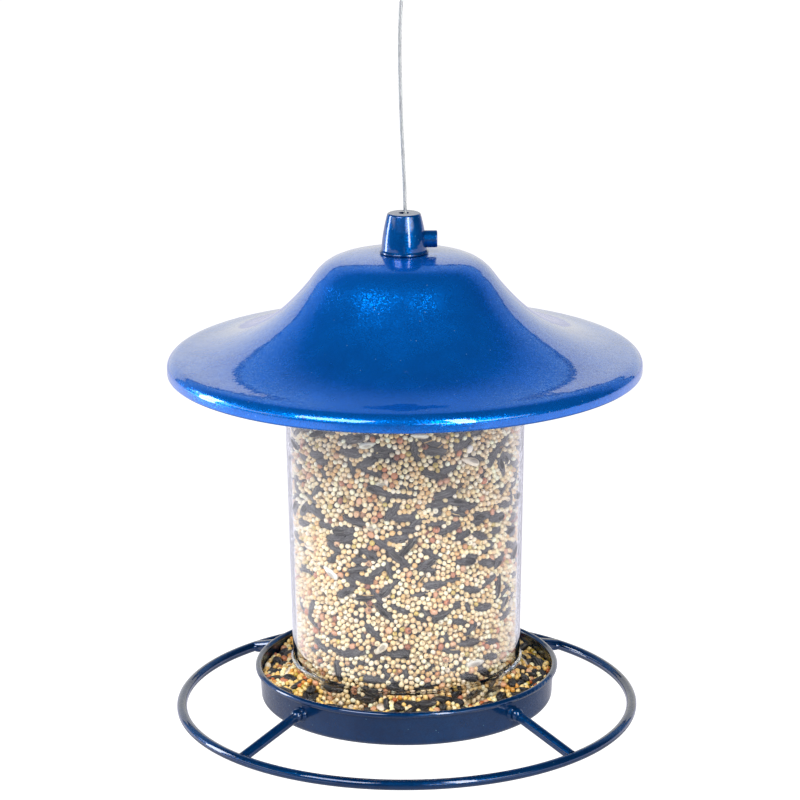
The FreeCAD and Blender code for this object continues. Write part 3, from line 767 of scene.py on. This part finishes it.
def trough_top(x, y):
    """Seed surface in the tray, heaped before the windows and gently uneven."""
    radius = np.hypot(x, y)
    angle = np.radians(front_angle(x, y))
    heap = in_window(x, y, 9.0) * (2.5 + np.clip(60.5 - radius, 0, 11) * 0.42)
    return (FLOOR_TOP + 10.9 + heap + 0.55 * np.sin(3 * angle + 0.7)
            + 0.45 * np.sin(7 * angle + radius * 0.25)
            + 0.25 * np.sin(13 * angle - radius * 0.4))


def heap_top(x, y):
    """Seed surface under the roof, a low dome."""
    radius = np.hypot(x, y)
    return (FILL + 1.6 - radius * radius * 0.0012
            + 0.6 * np.sin(x * 0.13 + 1.0) * np.cos(y * 0.11))


HEAP_R = float(wall_radius(FILL)) - SHELL + 0.4


# -------------------------------------------------------------- grain packing
def neighbour_pairs(points, cell):
    """Index pairs of points in the same or touching cells."""
    cells = np.floor((points - (points.min(0) - cell)) / cell).astype(np.int64)
    size = cells.max(0) + 3
    key = (cells[:, 0] * size[1] + cells[:, 1]) * size[2] + cells[:, 2]
    order = np.argsort(key, kind="stable")
    ranked = key[order]
    firsts, seconds = [], []
    for dx in (0, 1):
        for dy in (-1, 0, 1):
            for dz in (-1, 0, 1):
                if (dx, dy, dz) < (0, 0, 0):
                    continue
                shift = (dx * size[1] + dy) * size[2] + dz
                start = np.searchsorted(ranked, ranked + shift, "left")
                end = np.searchsorted(ranked, ranked + shift, "right")
                if shift == 0:
                    start = np.arange(len(ranked)) + 1
                count = np.maximum(end - start, 0)
                if count.sum() == 0:
                    continue
                first = np.repeat(np.arange(len(ranked)), count)
                run = np.arange(len(first)) - np.repeat(np.cumsum(count) - count, count)
                firsts.append(order[first])
                seconds.append(order[np.repeat(start, count) + run])
    return np.concatenate(firsts), np.concatenate(seconds)


def settle(points, radii, still, project, rounds):
    """Pushes overlapping grains apart until they only touch and returns their places.
    still: (points, radii) sets that stay put; project keeps the grains in their space."""
    slack, passes, relax = 0.6, 10, 0.8
    loose = len(points)
    points = np.concatenate([points] + [s[0] for s in still])
    radii = np.concatenate([radii] + [s[1] for s in still])
    total = len(points)
    fixed = np.arange(total) >= loose
    move = (~fixed).astype(float)
    for _ in range(rounds):
        a, b = neighbour_pairs(points, 2 * radii.max() + slack)
        gap = points[b] - points[a]
        near = np.einsum("ij,ij->i", gap, gap) < (radii[a] + radii[b] + slack) ** 2
        keep = near & ~(fixed[a] & fixed[b])
        a, b = a[keep], b[keep]
        move_a, move_b = move[a], move[b]
        share = move_a + move_b
        for _ in range(passes):
            gap = points[b] - points[a]
            length = np.sqrt(np.einsum("ij,ij->i", gap, gap)) + 1e-9
            over = np.maximum((radii[a] + radii[b]) - length, 0.0)
            push = gap * (over / length * relax)[:, None] / share[:, None]
            for k in range(3):
                points[:, k] += (np.bincount(b, push[:, k] * move_b, total)
                                 - np.bincount(a, push[:, k] * move_a, total))
            project(points, radii, move)
    return points[:loose].copy()


def hold_radius(points, move, lo, hi):
    radius = np.hypot(points[:, 0], points[:, 1])
    factor = np.where(move > 0, np.clip(radius, lo, hi) / radius, 1.0)
    points[:, 0] *= factor
    points[:, 1] *= factor


def hold_height(points, move, lo, hi):
    points[:, 2] = np.where(move > 0, np.clip(points[:, 2], lo, hi), points[:, 2])


def keep_in_shell(points, radii, move):
    wall = wall_radius(points[:, 2])
    hold_radius(points, move, wall - SHELL - 0.4, wall - radii)
    hold_height(points, move, FLOOR_TOP + radii, FILL - radii * 0.5)


def keep_in_layer(points, radii, move, top, thickness):
    height = top(points[:, 0], points[:, 1])
    hold_height(points, move, height - thickness, height - radii * 0.75)


def keep_in_trough(points, radii, move):
    window = in_window(points[:, 0], points[:, 1]) > 0.5
    inner = np.where(window, 50.0, LEG_OUT + 0.1 + radii)
    hold_radius(points, move, inner, 67.0 - radii)
    keep_in_layer(points, radii, move, trough_top, thickness=5.6)


def keep_in_heap(points, radii, move):
    hold_radius(points, move, ROPE_R + 0.3 + radii, HEAP_R + 1.2)
    keep_in_layer(points, radii, move, heap_top, thickness=5.2)


def unit(vectors):
    return vectors / (np.linalg.norm(vectors, axis=-1, keepdims=True) + 1e-12)


def random_frames(count):
    """Rotations whose columns are the grains' own axes."""
    first = unit(rng.normal(size=(count, 3)))
    second = unit(np.cross(first, rng.normal(size=(count, 3))))
    return np.stack([first, second, np.cross(first, second)], -1)


def lying(long_axis, normal, roll):
    """Frame with its first column along the grain and its third, the thin one, near normal."""
    first = unit(long_axis)
    third = unit(normal - first * (first @ normal))
    second = np.cross(third, first)
    cos, sin = math.cos(roll), math.sin(roll)
    return np.stack([first, cos * second + sin * third, -sin * second + cos * third], 1)


# ---------------------------------------------------------------- long grains
# balls that stand in for a husk: place along it and radius, both of its half-length
HUSK_BALLS = [(-0.78, 0.22), (-0.42, 0.34), (0.0, 0.38), (0.42, 0.33), (0.78, 0.20)]


class Husks:
    """Long grains, placed first; the round grains settle against their rows of balls."""

    def __init__(self):
        self.centres, self.frames, self.halves = [], [], []
        self.balls, self.radii = np.zeros((0, 3)), np.zeros(0)

    def try_add(self, centre, axes, half, fits):
        overlap = 0.55
        balls = centre + np.outer([ball[0] for ball in HUSK_BALLS], axes[:, 0]) * half
        radii = np.array([ball[1] for ball in HUSK_BALLS]) * half * 0.86
        if not fits(balls, radii):
            return
        near = np.abs(self.balls - centre).max(1) < 16
        if near.any():
            gap = np.linalg.norm(balls[:, None] - self.balls[near][None], axis=2)
            if (gap < radii[:, None] + self.radii[near][None] - overlap).any():
                return
        self.centres.append(centre)
        self.frames.append(axes)
        self.halves.append(half)
        self.balls = np.concatenate([self.balls, balls])
        self.radii = np.concatenate([self.radii, radii])


# clumps of husks: degrees from the front, height, and their half-widths
HUSK_CLUMPS = [
    (-4, 154, 16, 9), (-9, 127, 15, 8), (4, 103, 12, 7), (38, 96, 7, 12), (-17, 62, 11, 6),
    (22, 60, 9, 5), (95, 140, 20, 12), (120, 80, 16, 10), (160, 120, 18, 9),
    (-80, 110, 14, 12), (-120, 70, 18, 9), (-150, 145, 20, 10), (180, 55, 15, 8),
]


def husk_chance(angle, z):
    """Chance of a husk at the hopper's wall: patchy, rarer low down, commoner at the top."""
    patch = (math.sin(3 * angle + 0.045 * z) * math.sin(2 * angle - 0.07 * z + 1.3)
             + 0.5 * math.sin(5 * angle + 0.11 * z + 2.0))
    from_front = (math.degrees(angle) + 90.0 + 180.0) % 360.0 - 180.0
    for clump_angle, clump_z, half_angle, half_z in HUSK_CLUMPS:
        patch += 0.9 * math.exp(-((from_front - clump_angle) / half_angle) ** 2
                                - ((z - clump_z) / half_z) ** 2)
    low = 0.42 + 0.58 * min(1.0, max(0.0, z - 30.0) / 60.0)
    return (0.46 + 0.66 * patch) * low + 0.34 * max(0.0, (z - 118.0) / 50.0)


def fits_hopper(balls, radii):
    radius, z = np.hypot(balls[:, 0], balls[:, 1]), balls[:, 2]
    return ((radius + radii * 0.72 < wall_radius(z)).all() and (z > 7.5).all()
            and (z < FILL).all())


def fits_trough(balls, radii):
    x, y, z = balls.T
    radius = np.hypot(x, y)
    inner = np.where(in_window(x, y) > 0.5, 50.5, LEG_OUT + 0.3)
    return ((radius + radii * 0.9 < 66.9).all() and (radius - radii * 0.8 > inner).all()
            and (z + radii * 0.5 < RIM_TOP + 1.2).all())


def fits_heap(balls, radii):
    radius = np.hypot(balls[:, 0], balls[:, 1])
    return ((radius + radii * 0.8 < wall_radius(FILL) - 1.0).all()
            and (radius - radii > 1.2).all())


def wall_husks(want, most_tries):
    """Husks lying against the hopper's wall, most of them behind the outermost millet."""
    husks = Husks()
    tries = 0
    while len(husks.centres) < want and tries < most_tries:
        tries += 1
        angle, z = rng.uniform(0, TURN), rng.uniform(8, FILL - 2)
        half = rng.normal(5.35, 0.5)
        if rng.random() > husk_chance(angle, z):
            continue
        # a third lie near the wall; a fifth lean steeply and a fifth are rolled on edge
        near_wall = rng.random() < 0.34
        depth = 1.45 + abs(rng.normal(0, 0.5)) if near_wall else rng.uniform(2.3, 4.6)
        radius = float(wall_radius(z)) - depth
        outward, along = radial_axes(angle)
        lean = rng.normal(0, 0.5) if rng.random() < 0.8 else rng.uniform(-1.5, 1.5)
        axis = math.cos(lean) * along + math.sin(lean) * UP + outward * rng.normal(0, 0.12)
        if rng.random() < 0.5:
            axis = -axis
        roll = rng.normal(0, 0.35) if rng.random() < 0.8 else rng.uniform(0.8, 2.3)
        centre = outward * radius + np.array([0, 0, z])
        husks.try_add(centre, lying(axis, outward, roll), half, fits_hopper)
    return husks


def surface_husks(want, most_tries, draw_radius, top, fits, sink, rise, tilt, roll):
    """Husks lying on the surface top; sink, rise, tilt and roll are spreads."""
    husks = Husks()
    tries = 0
    while len(husks.centres) < want and tries < most_tries:
        tries += 1
        angle, radius = rng.uniform(0, TURN), draw_radius()
        x, y = radius * math.cos(angle), radius * math.sin(angle)
        half = rng.normal(5.3, 0.5)
        z = float(top(x, y)) - 1.2 - abs(rng.normal(0, sink))
        axis = np.array([*rng.normal(size=2), rng.normal(0, rise)])
        axes = lying(axis, UP + rng.normal(0, tilt, 3), rng.normal(0, roll))
        husks.try_add(np.array([x, y, z]), axes, half, fits)
    return husks


# --------------------------------------------------------------- round grains
IS_MILLET, IS_MILO, IS_SAFFLOWER = 0, 1, 2


def round_sizes(counts, millet, milo, safflower):
    """Kinds and radii. counts by kind; millet and milo are (mean, spread)."""
    kinds = np.repeat([IS_MILLET, IS_MILO, IS_SAFFLOWER], counts)
    total = len(kinds)
    radii = np.where(kinds == IS_MILLET, rng.normal(*millet, total),
                     np.where(kinds == IS_MILO, rng.normal(*milo, total), safflower))
    return kinds, radii


def scatter_wall(count):
    angle = rng.uniform(0, TURN, count)
    z = rng.uniform(7, FILL, count)
    radius = wall_radius(z) - SHELL * rng.uniform(0, 1, count) ** 1.15
    return cylindrical(radius, angle, z)


def scatter_surface(count, inner, outer, top, depth):
    angle = rng.uniform(0, TURN, count)
    radius = np.sqrt(rng.uniform(inner ** 2, outer ** 2, count))
    points = cylindrical(radius, angle, 0.0)
    points[:, 2] = top(points[:, 0], points[:, 1]) - rng.uniform(*depth, count)
    return points


# hopper wall
hopper_husks = wall_husks(want=930, most_tries=26000)
hopper_kinds, hopper_radii = round_sizes(
    (12600, 760, 20), millet=(1.28, 0.08), milo=(1.6, 0.15), safflower=1.7)
hopper_points = settle(
    scatter_wall(len(hopper_kinds)), hopper_radii,
    [(hopper_husks.balls, hopper_husks.radii)], keep_in_shell, rounds=9)
hopper_z = hopper_points[:, 2]
hopper_depth = (wall_radius(hopper_z) - np.hypot(hopper_points[:, 0], hopper_points[:, 1])
                - hopper_radii)

# trough
trough_husks = surface_husks(
    want=128, most_tries=4000, top=trough_top, fits=fits_trough,
    draw_radius=lambda: math.sqrt(rng.uniform(53.5 ** 2, 64.5 ** 2)),
    sink=0.9, rise=0.18, tilt=0.15, roll=0.5)
trough_kinds, trough_radii = round_sizes(
    (1780, 100, 8), millet=(1.28, 0.08), milo=(1.62, 0.15), safflower=1.7)
low = (hopper_z < LIP_Z + 3) & (hopper_depth < 2.5)
trough_points = settle(
    scatter_surface(len(trough_kinds), 51.0, 66.5, trough_top, depth=(0.8, 5.0)), trough_radii,
    [(trough_husks.balls, trough_husks.radii), (hopper_points[low], hopper_radii[low])],
    keep_in_trough, rounds=9)

# top of the heap, under the roof
heap_husks = surface_husks(
    want=64, most_tries=3000, top=heap_top, fits=fits_heap,
    draw_radius=lambda: HEAP_R * math.sqrt(rng.random()),
    sink=0.8, rise=0.15, tilt=0.12, roll=0.4)
heap_kinds, heap_radii = round_sizes(
    (2500, 110, 24), millet=(1.22, 0.075), milo=(1.75, 0.14), safflower=1.9)
high = hopper_z > FILL - 8
heap_points = settle(
    scatter_surface(len(heap_kinds), 2.5, HEAP_R, heap_top, depth=(0.8, 4.6)), heap_radii,
    [(heap_husks.balls, heap_husks.radii), (hopper_points[high], hopper_radii[high])],
    keep_in_heap, rounds=8)


# --------------------------------------------------------------- grain shapes
def icosphere(levels):
    gold = (1 + 5 ** 0.5) / 2
    corners = [
        (-1, gold, 0), (1, gold, 0), (-1, -gold, 0), (1, -gold, 0),
        (0, -1, gold), (0, 1, gold), (0, -1, -gold), (0, 1, -gold),
        (gold, 0, -1), (gold, 0, 1), (-gold, 0, -1), (-gold, 0, 1)]
    faces = [
        (0, 11, 5), (0, 5, 1), (0, 1, 7), (0, 7, 10), (0, 10, 11), (1, 5, 9), (5, 11, 4),
        (11, 10, 2), (10, 7, 6), (7, 1, 8), (3, 9, 4), (3, 4, 2), (3, 2, 6), (3, 6, 8),
        (3, 8, 9), (4, 9, 5), (2, 4, 11), (6, 2, 10), (8, 6, 7), (9, 8, 1)]
    verts = [np.array(c, float) / np.linalg.norm(c) for c in corners]
    for _ in range(levels):
        middles, finer = {}, []

        def middle(i, j):
            key = (min(i, j), max(i, j))
            if key not in middles:
                total = verts[i] + verts[j]
                middles[key] = len(verts)
                verts.append(total / np.linalg.norm(total))
            return middles[key]
        for a, b, c in faces:
            ab, bc, ca = middle(a, b), middle(b, c), middle(c, a)
            finer += [(a, ab, ca), (b, bc, ab), (c, ca, bc), (ab, bc, ca)]
        faces = finer
    return np.array(verts), np.array(faces)


# Each shape is (verts, faces, own coordinates), one unit in half-length.
def round_grain(levels, squash, knobble):
    sphere, faces = icosphere(levels)
    verts = sphere * np.array([1.0, 0.96, squash])
    # a small pucker where the eye is, and slightly uneven sides
    verts[:, 2] -= 0.10 * np.exp(-((1 - sphere[:, 2]) / 0.12))
    verts *= 1 + knobble * np.sin(sphere @ rng.normal(size=3) * 3 + rng.uniform(0, 6))[:, None]
    return verts, faces, sphere


def sunflower_grain(rows=11, cols=10):
    """Long flattened husk along X, pointed at one end, with ridges along its flanks."""
    half_width, half_thick = 0.42, 0.27
    x = np.cos(np.linspace(0, math.pi, rows)[1:-1])
    girth = np.sin(np.linspace(0, math.pi, rows)[1:-1]) ** 0.78 * (1 - 0.30 * x)
    girth /= girth.max()
    angle = ring_angles(cols)
    ridge = 1 + 0.05 * np.cos(4 * angle + 0.6)
    verts = np.stack([np.repeat(x[:, None], cols, 1),
                      girth[:, None] * np.cos(angle) * half_width * ridge,
                      girth[:, None] * np.sin(angle) * half_thick * ridge], -1).reshape(-1, 3)
    verts = np.concatenate([verts, [[1.0, 0, 0], [-0.97, 0, 0]]])
    verts[:, 2] += 0.03 * np.sin(verts[:, 0] * 2.5 + rng.uniform(0, 6))
    rings = len(x)
    side = np.arange(cols)
    after = (side + 1) % cols
    last = (rings - 1) * cols
    quads = grid_faces(rings, cols)[:, ::-1]
    faces = np.concatenate([
        np.stack([np.full(cols, rings * cols), side, after], -1),
        np.stack([np.full(cols, rings * cols + 1), last + after, last + side], -1),
        quads[:, [0, 1, 2]], quads[:, [0, 2, 3]]])
    own = verts.copy()
    own[:, 1] /= half_width
    own[:, 2] /= half_thick
    return verts, faces, own


def straw_grain():
    verts, faces, own = sunflower_grain(rows=8, cols=5)
    verts = verts * np.array([1, 0.22, 0.14])
    verts[:, 1] += 0.10 * (verts[:, 0] ** 2)
    return verts, faces, own


def grains(name, shapes, centres, frames, halves, tints, mat, shift=0.0):
    """One mesh of many grains; halves is (n,) or (n, 3) half-lengths. shift moves each
    grain's own coordinates sideways, so that markings differ."""
    count = len(centres)
    halves = np.broadcast_to(np.asarray(halves, float).reshape(count, -1), (count, 3))
    which = rng.integers(0, len(shapes), count)
    verts, faces, colors, locs, offset = [], [], [], [], 0
    for k, (shape_verts, shape_faces, shape_own) in enumerate(shapes):
        chosen = np.flatnonzero(which == k)
        if not len(chosen):
            continue
        sized = shape_verts[None] * halves[chosen][:, None, :]
        placed = np.einsum("nij,nvj->nvi", frames[chosen], sized) + centres[chosen][:, None]
        size = len(shape_verts)
        starts = (np.arange(len(chosen)) * size)[:, None, None]
        verts.append(placed.reshape(-1, 3))
        faces.append((shape_faces[None] + starts).reshape(-1, 3) + offset)
        colors.append(np.repeat(tints[chosen], size, 0))
        own = np.broadcast_to(shape_own[None], placed.shape).copy()
        if shift:
            own[..., 1:] += rng.uniform(-shift, shift, (len(chosen), 1, 2))
        locs.append(own.reshape(-1, 3))
        offset += len(chosen) * size
    seeds = mesh_object(name, np.concatenate(verts), np.concatenate(faces), mat,
                        attrs={"tint": ("FLOAT_COLOR", np.concatenate(colors)),
                               "loc": ("FLOAT_VECTOR", np.concatenate(locs))})
    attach(seeds, "feeder_base")


# ------------------------------------------------------------------ seed mix
# palettes: share, 8-bit sRGB
MILLET_COLORS = [
    (5.0, (250, 228, 184)), (4.0, (242, 212, 158)), (3.0, (255, 241, 210)),
    (1.2, (228, 184, 120)), (0.4, (210, 184, 98)), (0.35, (200, 140, 90))]
TROUGH_COLORS = [
    (5.0, (250, 216, 146)), (4.0, (242, 200, 116)), (3.0, (255, 238, 188)),
    (1.4, (222, 156, 66)), (0.7, (196, 166, 60)), (0.8, (184, 94, 38))]
MILO_COLORS = [
    (3.0, (214, 156, 116)), (2.0, (196, 124, 86)), (1.8, (226, 176, 134)), (0.5, (150, 88, 60))]
PALE_COLORS = [(1.0, (252, 246, 232)), (1.0, (238, 224, 200))]
HUSK_COLORS = [(4.0, (20, 19, 21)), (2.0, (30, 29, 31)), (1.2, (44, 42, 44))]
STRAW_COLORS = [(1.0, (226, 200, 144)), (1.0, (204, 168, 110))]

MILLET_SHAPES = [round_grain(levels=1, squash=0.86, knobble=0.035) for _ in range(4)]
MILO_SHAPES = [round_grain(levels=2, squash=0.80, knobble=0.03) for _ in range(3)]
HUSK_SHAPES = [sunflower_grain() for _ in range(5)]
STRAW_SHAPES = [straw_grain() for _ in range(3)]


def pick_tints(count, palette):
    """A palette colour for each grain, varied in brightness and a little in hue."""
    spread = 0.06
    colors = np.array([srgb(*color) for _, color in palette])
    shares = np.array([share for share, _ in palette], float)
    tints = colors[rng.choice(len(colors), count, p=shares / shares.sum())].copy()
    tints[:, :3] *= (rng.normal(1.0, spread, (count, 1))
                     * rng.normal(1.0, spread * 0.35, (count, 3)))
    tints[:, :3] = np.clip(tints[:, :3], 0.002, 0.98)
    return tints


def build_round(place, points, radii, kinds, sectors=1, palette=MILLET_COLORS):
    """Millet, split into sectors about Z, then milo and safflower."""
    def add(kind_name, chosen, shapes, stretch, colors, mat):
        count = int(chosen.sum())
        grains(f"seed_{place}_{kind_name}", shapes, points[chosen], random_frames(count),
               np.outer(radii[chosen], stretch), pick_tints(count, colors), mat)

    angle = np.arctan2(points[:, 1], points[:, 0])
    sector = np.floor((angle + math.pi) / TURN * sectors).astype(int).clip(0, sectors - 1)
    for k in range(sectors):
        add(f"millet_{k + 1}" if sectors > 1 else "millet", (kinds == IS_MILLET) & (sector == k),
            MILLET_SHAPES, [1.0, 1.0, 1.0], palette, MILLET)
    add("milo", kinds == IS_MILO, MILO_SHAPES, [1.02, 1.02, 1.02], MILO_COLORS, MILO)
    add("safflower", kinds == IS_SAFFLOWER, MILO_SHAPES, [1.0, 1.0, 1.75], PALE_COLORS, MILLET)


def build_husks(place, husks):
    """Black husks, with a few pale kernels among them."""
    centres, frames, halves = (np.array(v) for v in (husks.centres, husks.frames, husks.halves))
    hulled = rng.random(len(centres)) < 0.055
    for kind, chosen, scale, palette, mat, shift in (
            ("sunflower", ~hulled, 1.06, HUSK_COLORS, SUNFLOWER, 3.0),
            ("kernel", hulled, 0.86, PALE_COLORS, MILLET, 0.0)):
        grains(f"seed_{place}_{kind}", HUSK_SHAPES, centres[chosen], frames[chosen],
               halves[chosen] * scale, pick_tints(int(chosen.sum()), palette), mat, shift)


def build_straw():
    """Slivers of straw pressed against the hopper's wall."""
    count = 170
    angle = rng.uniform(0, TURN, count)
    z = rng.uniform(26, FILL - 4, count)
    radius = wall_radius(z) - 0.55 - np.abs(rng.normal(0, 0.35, count))
    outward = cylindrical(1.0, angle, 0.0)
    along = np.stack([-np.sin(angle), np.cos(angle), np.zeros(count)], 1)
    lean = rng.normal(0, 0.7, count)
    axes = np.cos(lean)[:, None] * along + np.sin(lean)[:, None] * UP
    frames = np.stack([lying(axis, out, 0.0) for axis, out in zip(axes, outward)])
    grains("seed_hopper_straw", STRAW_SHAPES, cylindrical(radius, angle, z), frames,
           rng.uniform(1.8, 3.6, count), pick_tints(count, STRAW_COLORS), STRAW)


def build_cores():
    """Solid seed behind the modelled grains of the hopper and under those of the trough, painted as
    grains in shade.
    """
    base = FLOOR_TOP + 0.3
    hole = 1.4                          # radius left free for the rope
    profile = [(hole, base)]
    profile += [(float(wall_radius(z)) - SHELL + 0.35, z) for z in np.arange(base, FILL - 3.0, 2.0)]
    profile += [(float(wall_radius(FILL)) - SHELL - 1.0, FILL - 3.0), (hole, FILL - 3.2)]
    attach(mesh_object("seed_hopper_core", *lathe(profile, 128), SHADED_SEED), "feeder_base")

    segments = 180
    angle = ring_angles(segments)
    rings = []
    for radius in (52.4, 53.5, 56, 59, 62, 65, 66.4):
        x, y = radius * np.cos(angle), radius * np.sin(angle)
        z = trough_top(x, y) - 4.3 + 0.3 * np.sin(x * 2.1) * np.cos(y * 1.9)
        rings.append(np.stack([x, y, z], 1))
    for radius in (66.0, 52.4):
        rings.append(cylindrical(radius, angle, base))
    faces = grid_faces(len(rings), segments, wrap_rows=True)
    core = mesh_object("seed_trough_core", np.concatenate(rings), faces, SHADED_SEED)
    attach(core, "feeder_base")


seen = hopper_depth < SHELL - 2.0
build_round("hopper", hopper_points[seen], hopper_radii[seen], hopper_kinds[seen], sectors=8)
build_round("trough", trough_points, trough_radii, trough_kinds, palette=TROUGH_COLORS)
build_round("heap", heap_points, heap_radii, heap_kinds, sectors=2)
build_husks("hopper", hopper_husks)
build_husks("trough", trough_husks)
build_husks("heap", heap_husks)
build_straw()
build_cores()

# --------------------------------------------------------------------- studio
scene.view_settings.view_transform = "Standard"
scene.view_settings.look = "None"
BOARD = 1.02                    # radiance of the white board behind the feeder


def floor_material():
    """White to the camera; the paint and the hopper mirror it bright far off, dim close by."""
    mat = new_material("studio_floor")
    place = mat.node("NewGeometry").outputs["Position"]
    x, y, _ = mat.xyz(place)
    tone = mat.noise(place, scale=1.2, detail=2.0, rough=0.5)
    away = mat.vector("LENGTH", {0: place}, "Value")
    beside = mat.math("ABSOLUTE", x)
    side = mat.math("DIVIDE", beside, mat.math("MAXIMUM", y, 0.02))
    lit = mat.times(mat.ease(away, span=(1.08, 1.30), to=(0.17, 1.02)),
                    mat.ease(side, span=(0.35, 1.3), to=(0.70, 1.0)))
    # the dark shape of the camera and its stand, far in front
    ahead = mat.math("MAXIMUM", mat.times(y, -1.0), 0.02)
    ratio = mat.math("DIVIDE", mat.math("ABSOLUTE", x), ahead)
    stand = mat.times(mat.ease(away, span=(1.62, 1.76)), mat.ease(ratio, span=(0.80, 0.45)))
    # and a dim patch close in front
    near = mat.times(mat.ease(y, span=(-0.12, -0.42)),
                     mat.ease(mat.math("ABSOLUTE", x), span=(0.75, 0.35)))
    near = mat.times(near, mat.ease(away, span=(1.5, 1.2)))
    for dark in (stand, near):
        lit = mat.times(lit, mat.math("SUBTRACT", 1.0, mat.times(dark, 0.85)))
    glossy = mat.glossy()
    lit = mat.mix_value(glossy, 0.8, lit)
    strength = mat.mix_value(mat.seen(), lit, 1.0)
    white = mat.mix(tone, (0.985, 0.987, 0.992, 1), (1.0, 1.0, 1.0, 1))
    white = mat.mix(glossy, white, (0.97, 0.955, 1.10, 1))
    glow = mat.node("Emission", {"Color": white, "Strength": strength})
    matte = mat.node("BsdfDiffuse", {"Color": (0.35, 0.35, 0.36, 1)})
    both = mat.node("AddShader", {0: glow.outputs[0], 1: matte.outputs[0]})
    return mat.finish(both.outputs[0])


def build_floor():
    mat = floor_material()
    bpy.ops.mesh.primitive_plane_add(size=30.0, location=(0, 0, cad_lo.z - 0.42))
    floor = bpy.context.object
    floor.name = "studio_floor"
    floor.data.materials.append(mat)


def build_world():
    """The board behind, a dim wall about it and window light for the paint to mirror."""
    world = bpy.data.worlds.new("studio")
    scene.world = world
    sky = Shading(world)
    dx, dy, dz = sky.xyz(sky.node("TexCoord").outputs["Generated"])
    ahead = sky.math("MAXIMUM", dy, 0.02)
    over = sky.math("SUBTRACT", sky.math("DIVIDE", dz, ahead), 0.50)
    aside = sky.math("DIVIDE", sky.math("ABSOLUTE", dx), ahead)
    aside = sky.math("SUBTRACT", aside, 0.80)
    past = sky.math("MAXIMUM", over, sky.times(aside, 0.7))     # how far past the board's edges
    board = sky.ease(past, span=(0.004, -0.004), to=(0.0, BOARD))
    glossy = sky.glossy()
    # beyond a dark gap along its edge: a dim, bluish wall that fades upwards
    halo = sky.times(sky.ease(past, span=(0.035, 0.06)),
                     sky.ease(past, span=(0.95, 0.10), to=(0.0, 0.72)))
    halo = sky.times(halo, sky.plus(0.08, sky.times(glossy, 0.92)))
    # low bands of window light, mirrored by the roof's rolled edge
    across = sky.math("SQRT", sky.plus(sky.times(dx, dx), sky.times(dy, dy)))
    level = sky.math("DIVIDE", dz, across)
    # degrees: 0 at the back, + to the right
    turn = sky.times(sky.math("ARCTAN2", dx, dy), 180.0 / math.pi)
    band = sky.times(sky.ease(level, span=(0.12, 0.18)), sky.ease(level, span=(0.40, 0.34)))
    right = sky.times(sky.ease(turn, span=(112.0, 136.0), to=(0.0, 5.0)),
                      sky.ease(turn, span=(178.0, 160.0)))
    left = sky.times(sky.ease(turn, span=(-128.0, -108.0), to=(0.0, 2.0)),
                     sky.ease(turn, span=(-52.0, -66.0)))
    middle = sky.times(sky.ease(turn, span=(-95.0, -130.0), to=(0.0, 0.25)),
                       sky.ease(turn, span=(180.0, 170.0)))
    band = sky.times(band, sky.plus(sky.plus(right, left), middle))
    band = sky.times(band, glossy)
    room = sky.ease(past, span=(0.03, 0.3), to=(0.0, 0.10))
    room = sky.plus(sky.plus(room, halo), band)
    strength = sky.mix_value(sky.seen(), sky.plus(board, room), 1.0)
    cool = sky.times(glossy, sky.ease(past, span=(0.004, 0.02)))
    cool = sky.times(cool, sky.ease(band, span=(0.6, 0.0)))
    tone = sky.mix(cool, (1.0, 0.97, 0.86, 1), (0.22, 0.48, 0.95, 1))
    tone = sky.mix(sky.seen(), tone, (1.0, 1.0, 1.0, 1))
    background = sky.node("Background", {"Color": tone, "Strength": strength})
    sky.finish(background.outputs[0], "OutputWorld")


def softbox(name, azimuth, elevation, distance, size, radiance, color=(1, 1, 1)):
    """Rectangle light aimed at the feeder; azimuth from the back (+Y) towards +X."""
    turn, rise = math.radians(azimuth), math.radians(elevation)
    direction = Vector((math.sin(turn) * math.cos(rise), math.cos(turn) * math.cos(rise),
                        math.sin(rise)))
    light = bpy.data.lights.new(name, "AREA")
    light.shape = "RECTANGLE"
    light.size, light.size_y = size
    light.color = color
    light.energy = radiance * math.pi * size[0] * size[1]
    lamp = bpy.data.objects.new(name, light)
    scene.collection.objects.link(lamp)
    lamp.location = Vector((0, 0, 0.13)) + direction * distance
    lamp.rotation_euler = (-direction).to_track_quat("-Z", "Y").to_euler()
    lamp.visible_camera = False
    lamp.visible_transmission = False
    return lamp


def build_lights():
    softbox("window_left", azimuth=-76, elevation=9, distance=1.7, size=(0.40, 1.05),
            radiance=11.0, color=(0.97, 0.99, 1.0))
    softbox("key_right", azimuth=152, elevation=27, distance=1.7, size=(0.30, 1.5),
            radiance=14.0, color=(1.0, 0.99, 0.97))
    softbox("fill_front", azimuth=-142, elevation=38, distance=2.2, size=(1.2, 0.9),
            radiance=9.0)
    top = softbox("top_light", azimuth=-165, elevation=62, distance=2.0, size=(1.9, 1.5),
                  radiance=1.5)
    top.visible_glossy = False


def build_camera():
    """In front and above, looking down at the feeder."""
    pitch_down = 0.2685                 # radians
    roll = math.radians(-0.33)
    lens = bpy.data.cameras.new("camera")
    lens.sensor_width = 36.0
    lens.lens = 141.8805
    lens.shift_x = -0.00625
    lens.clip_start, lens.clip_end = 0.05, 60.0
    camera = bpy.data.objects.new("camera", lens)
    scene.collection.objects.link(camera)
    camera.matrix_world = (Matrix.Translation((0.0, -1.3803, 0.52676))
                           @ Matrix.Rotation(math.radians(90.0) - pitch_down, 4, "X")
                           @ Matrix.Rotation(roll, 4, "Z"))
    scene.camera = camera


build_floor()
build_world()
build_lights()
build_camera()
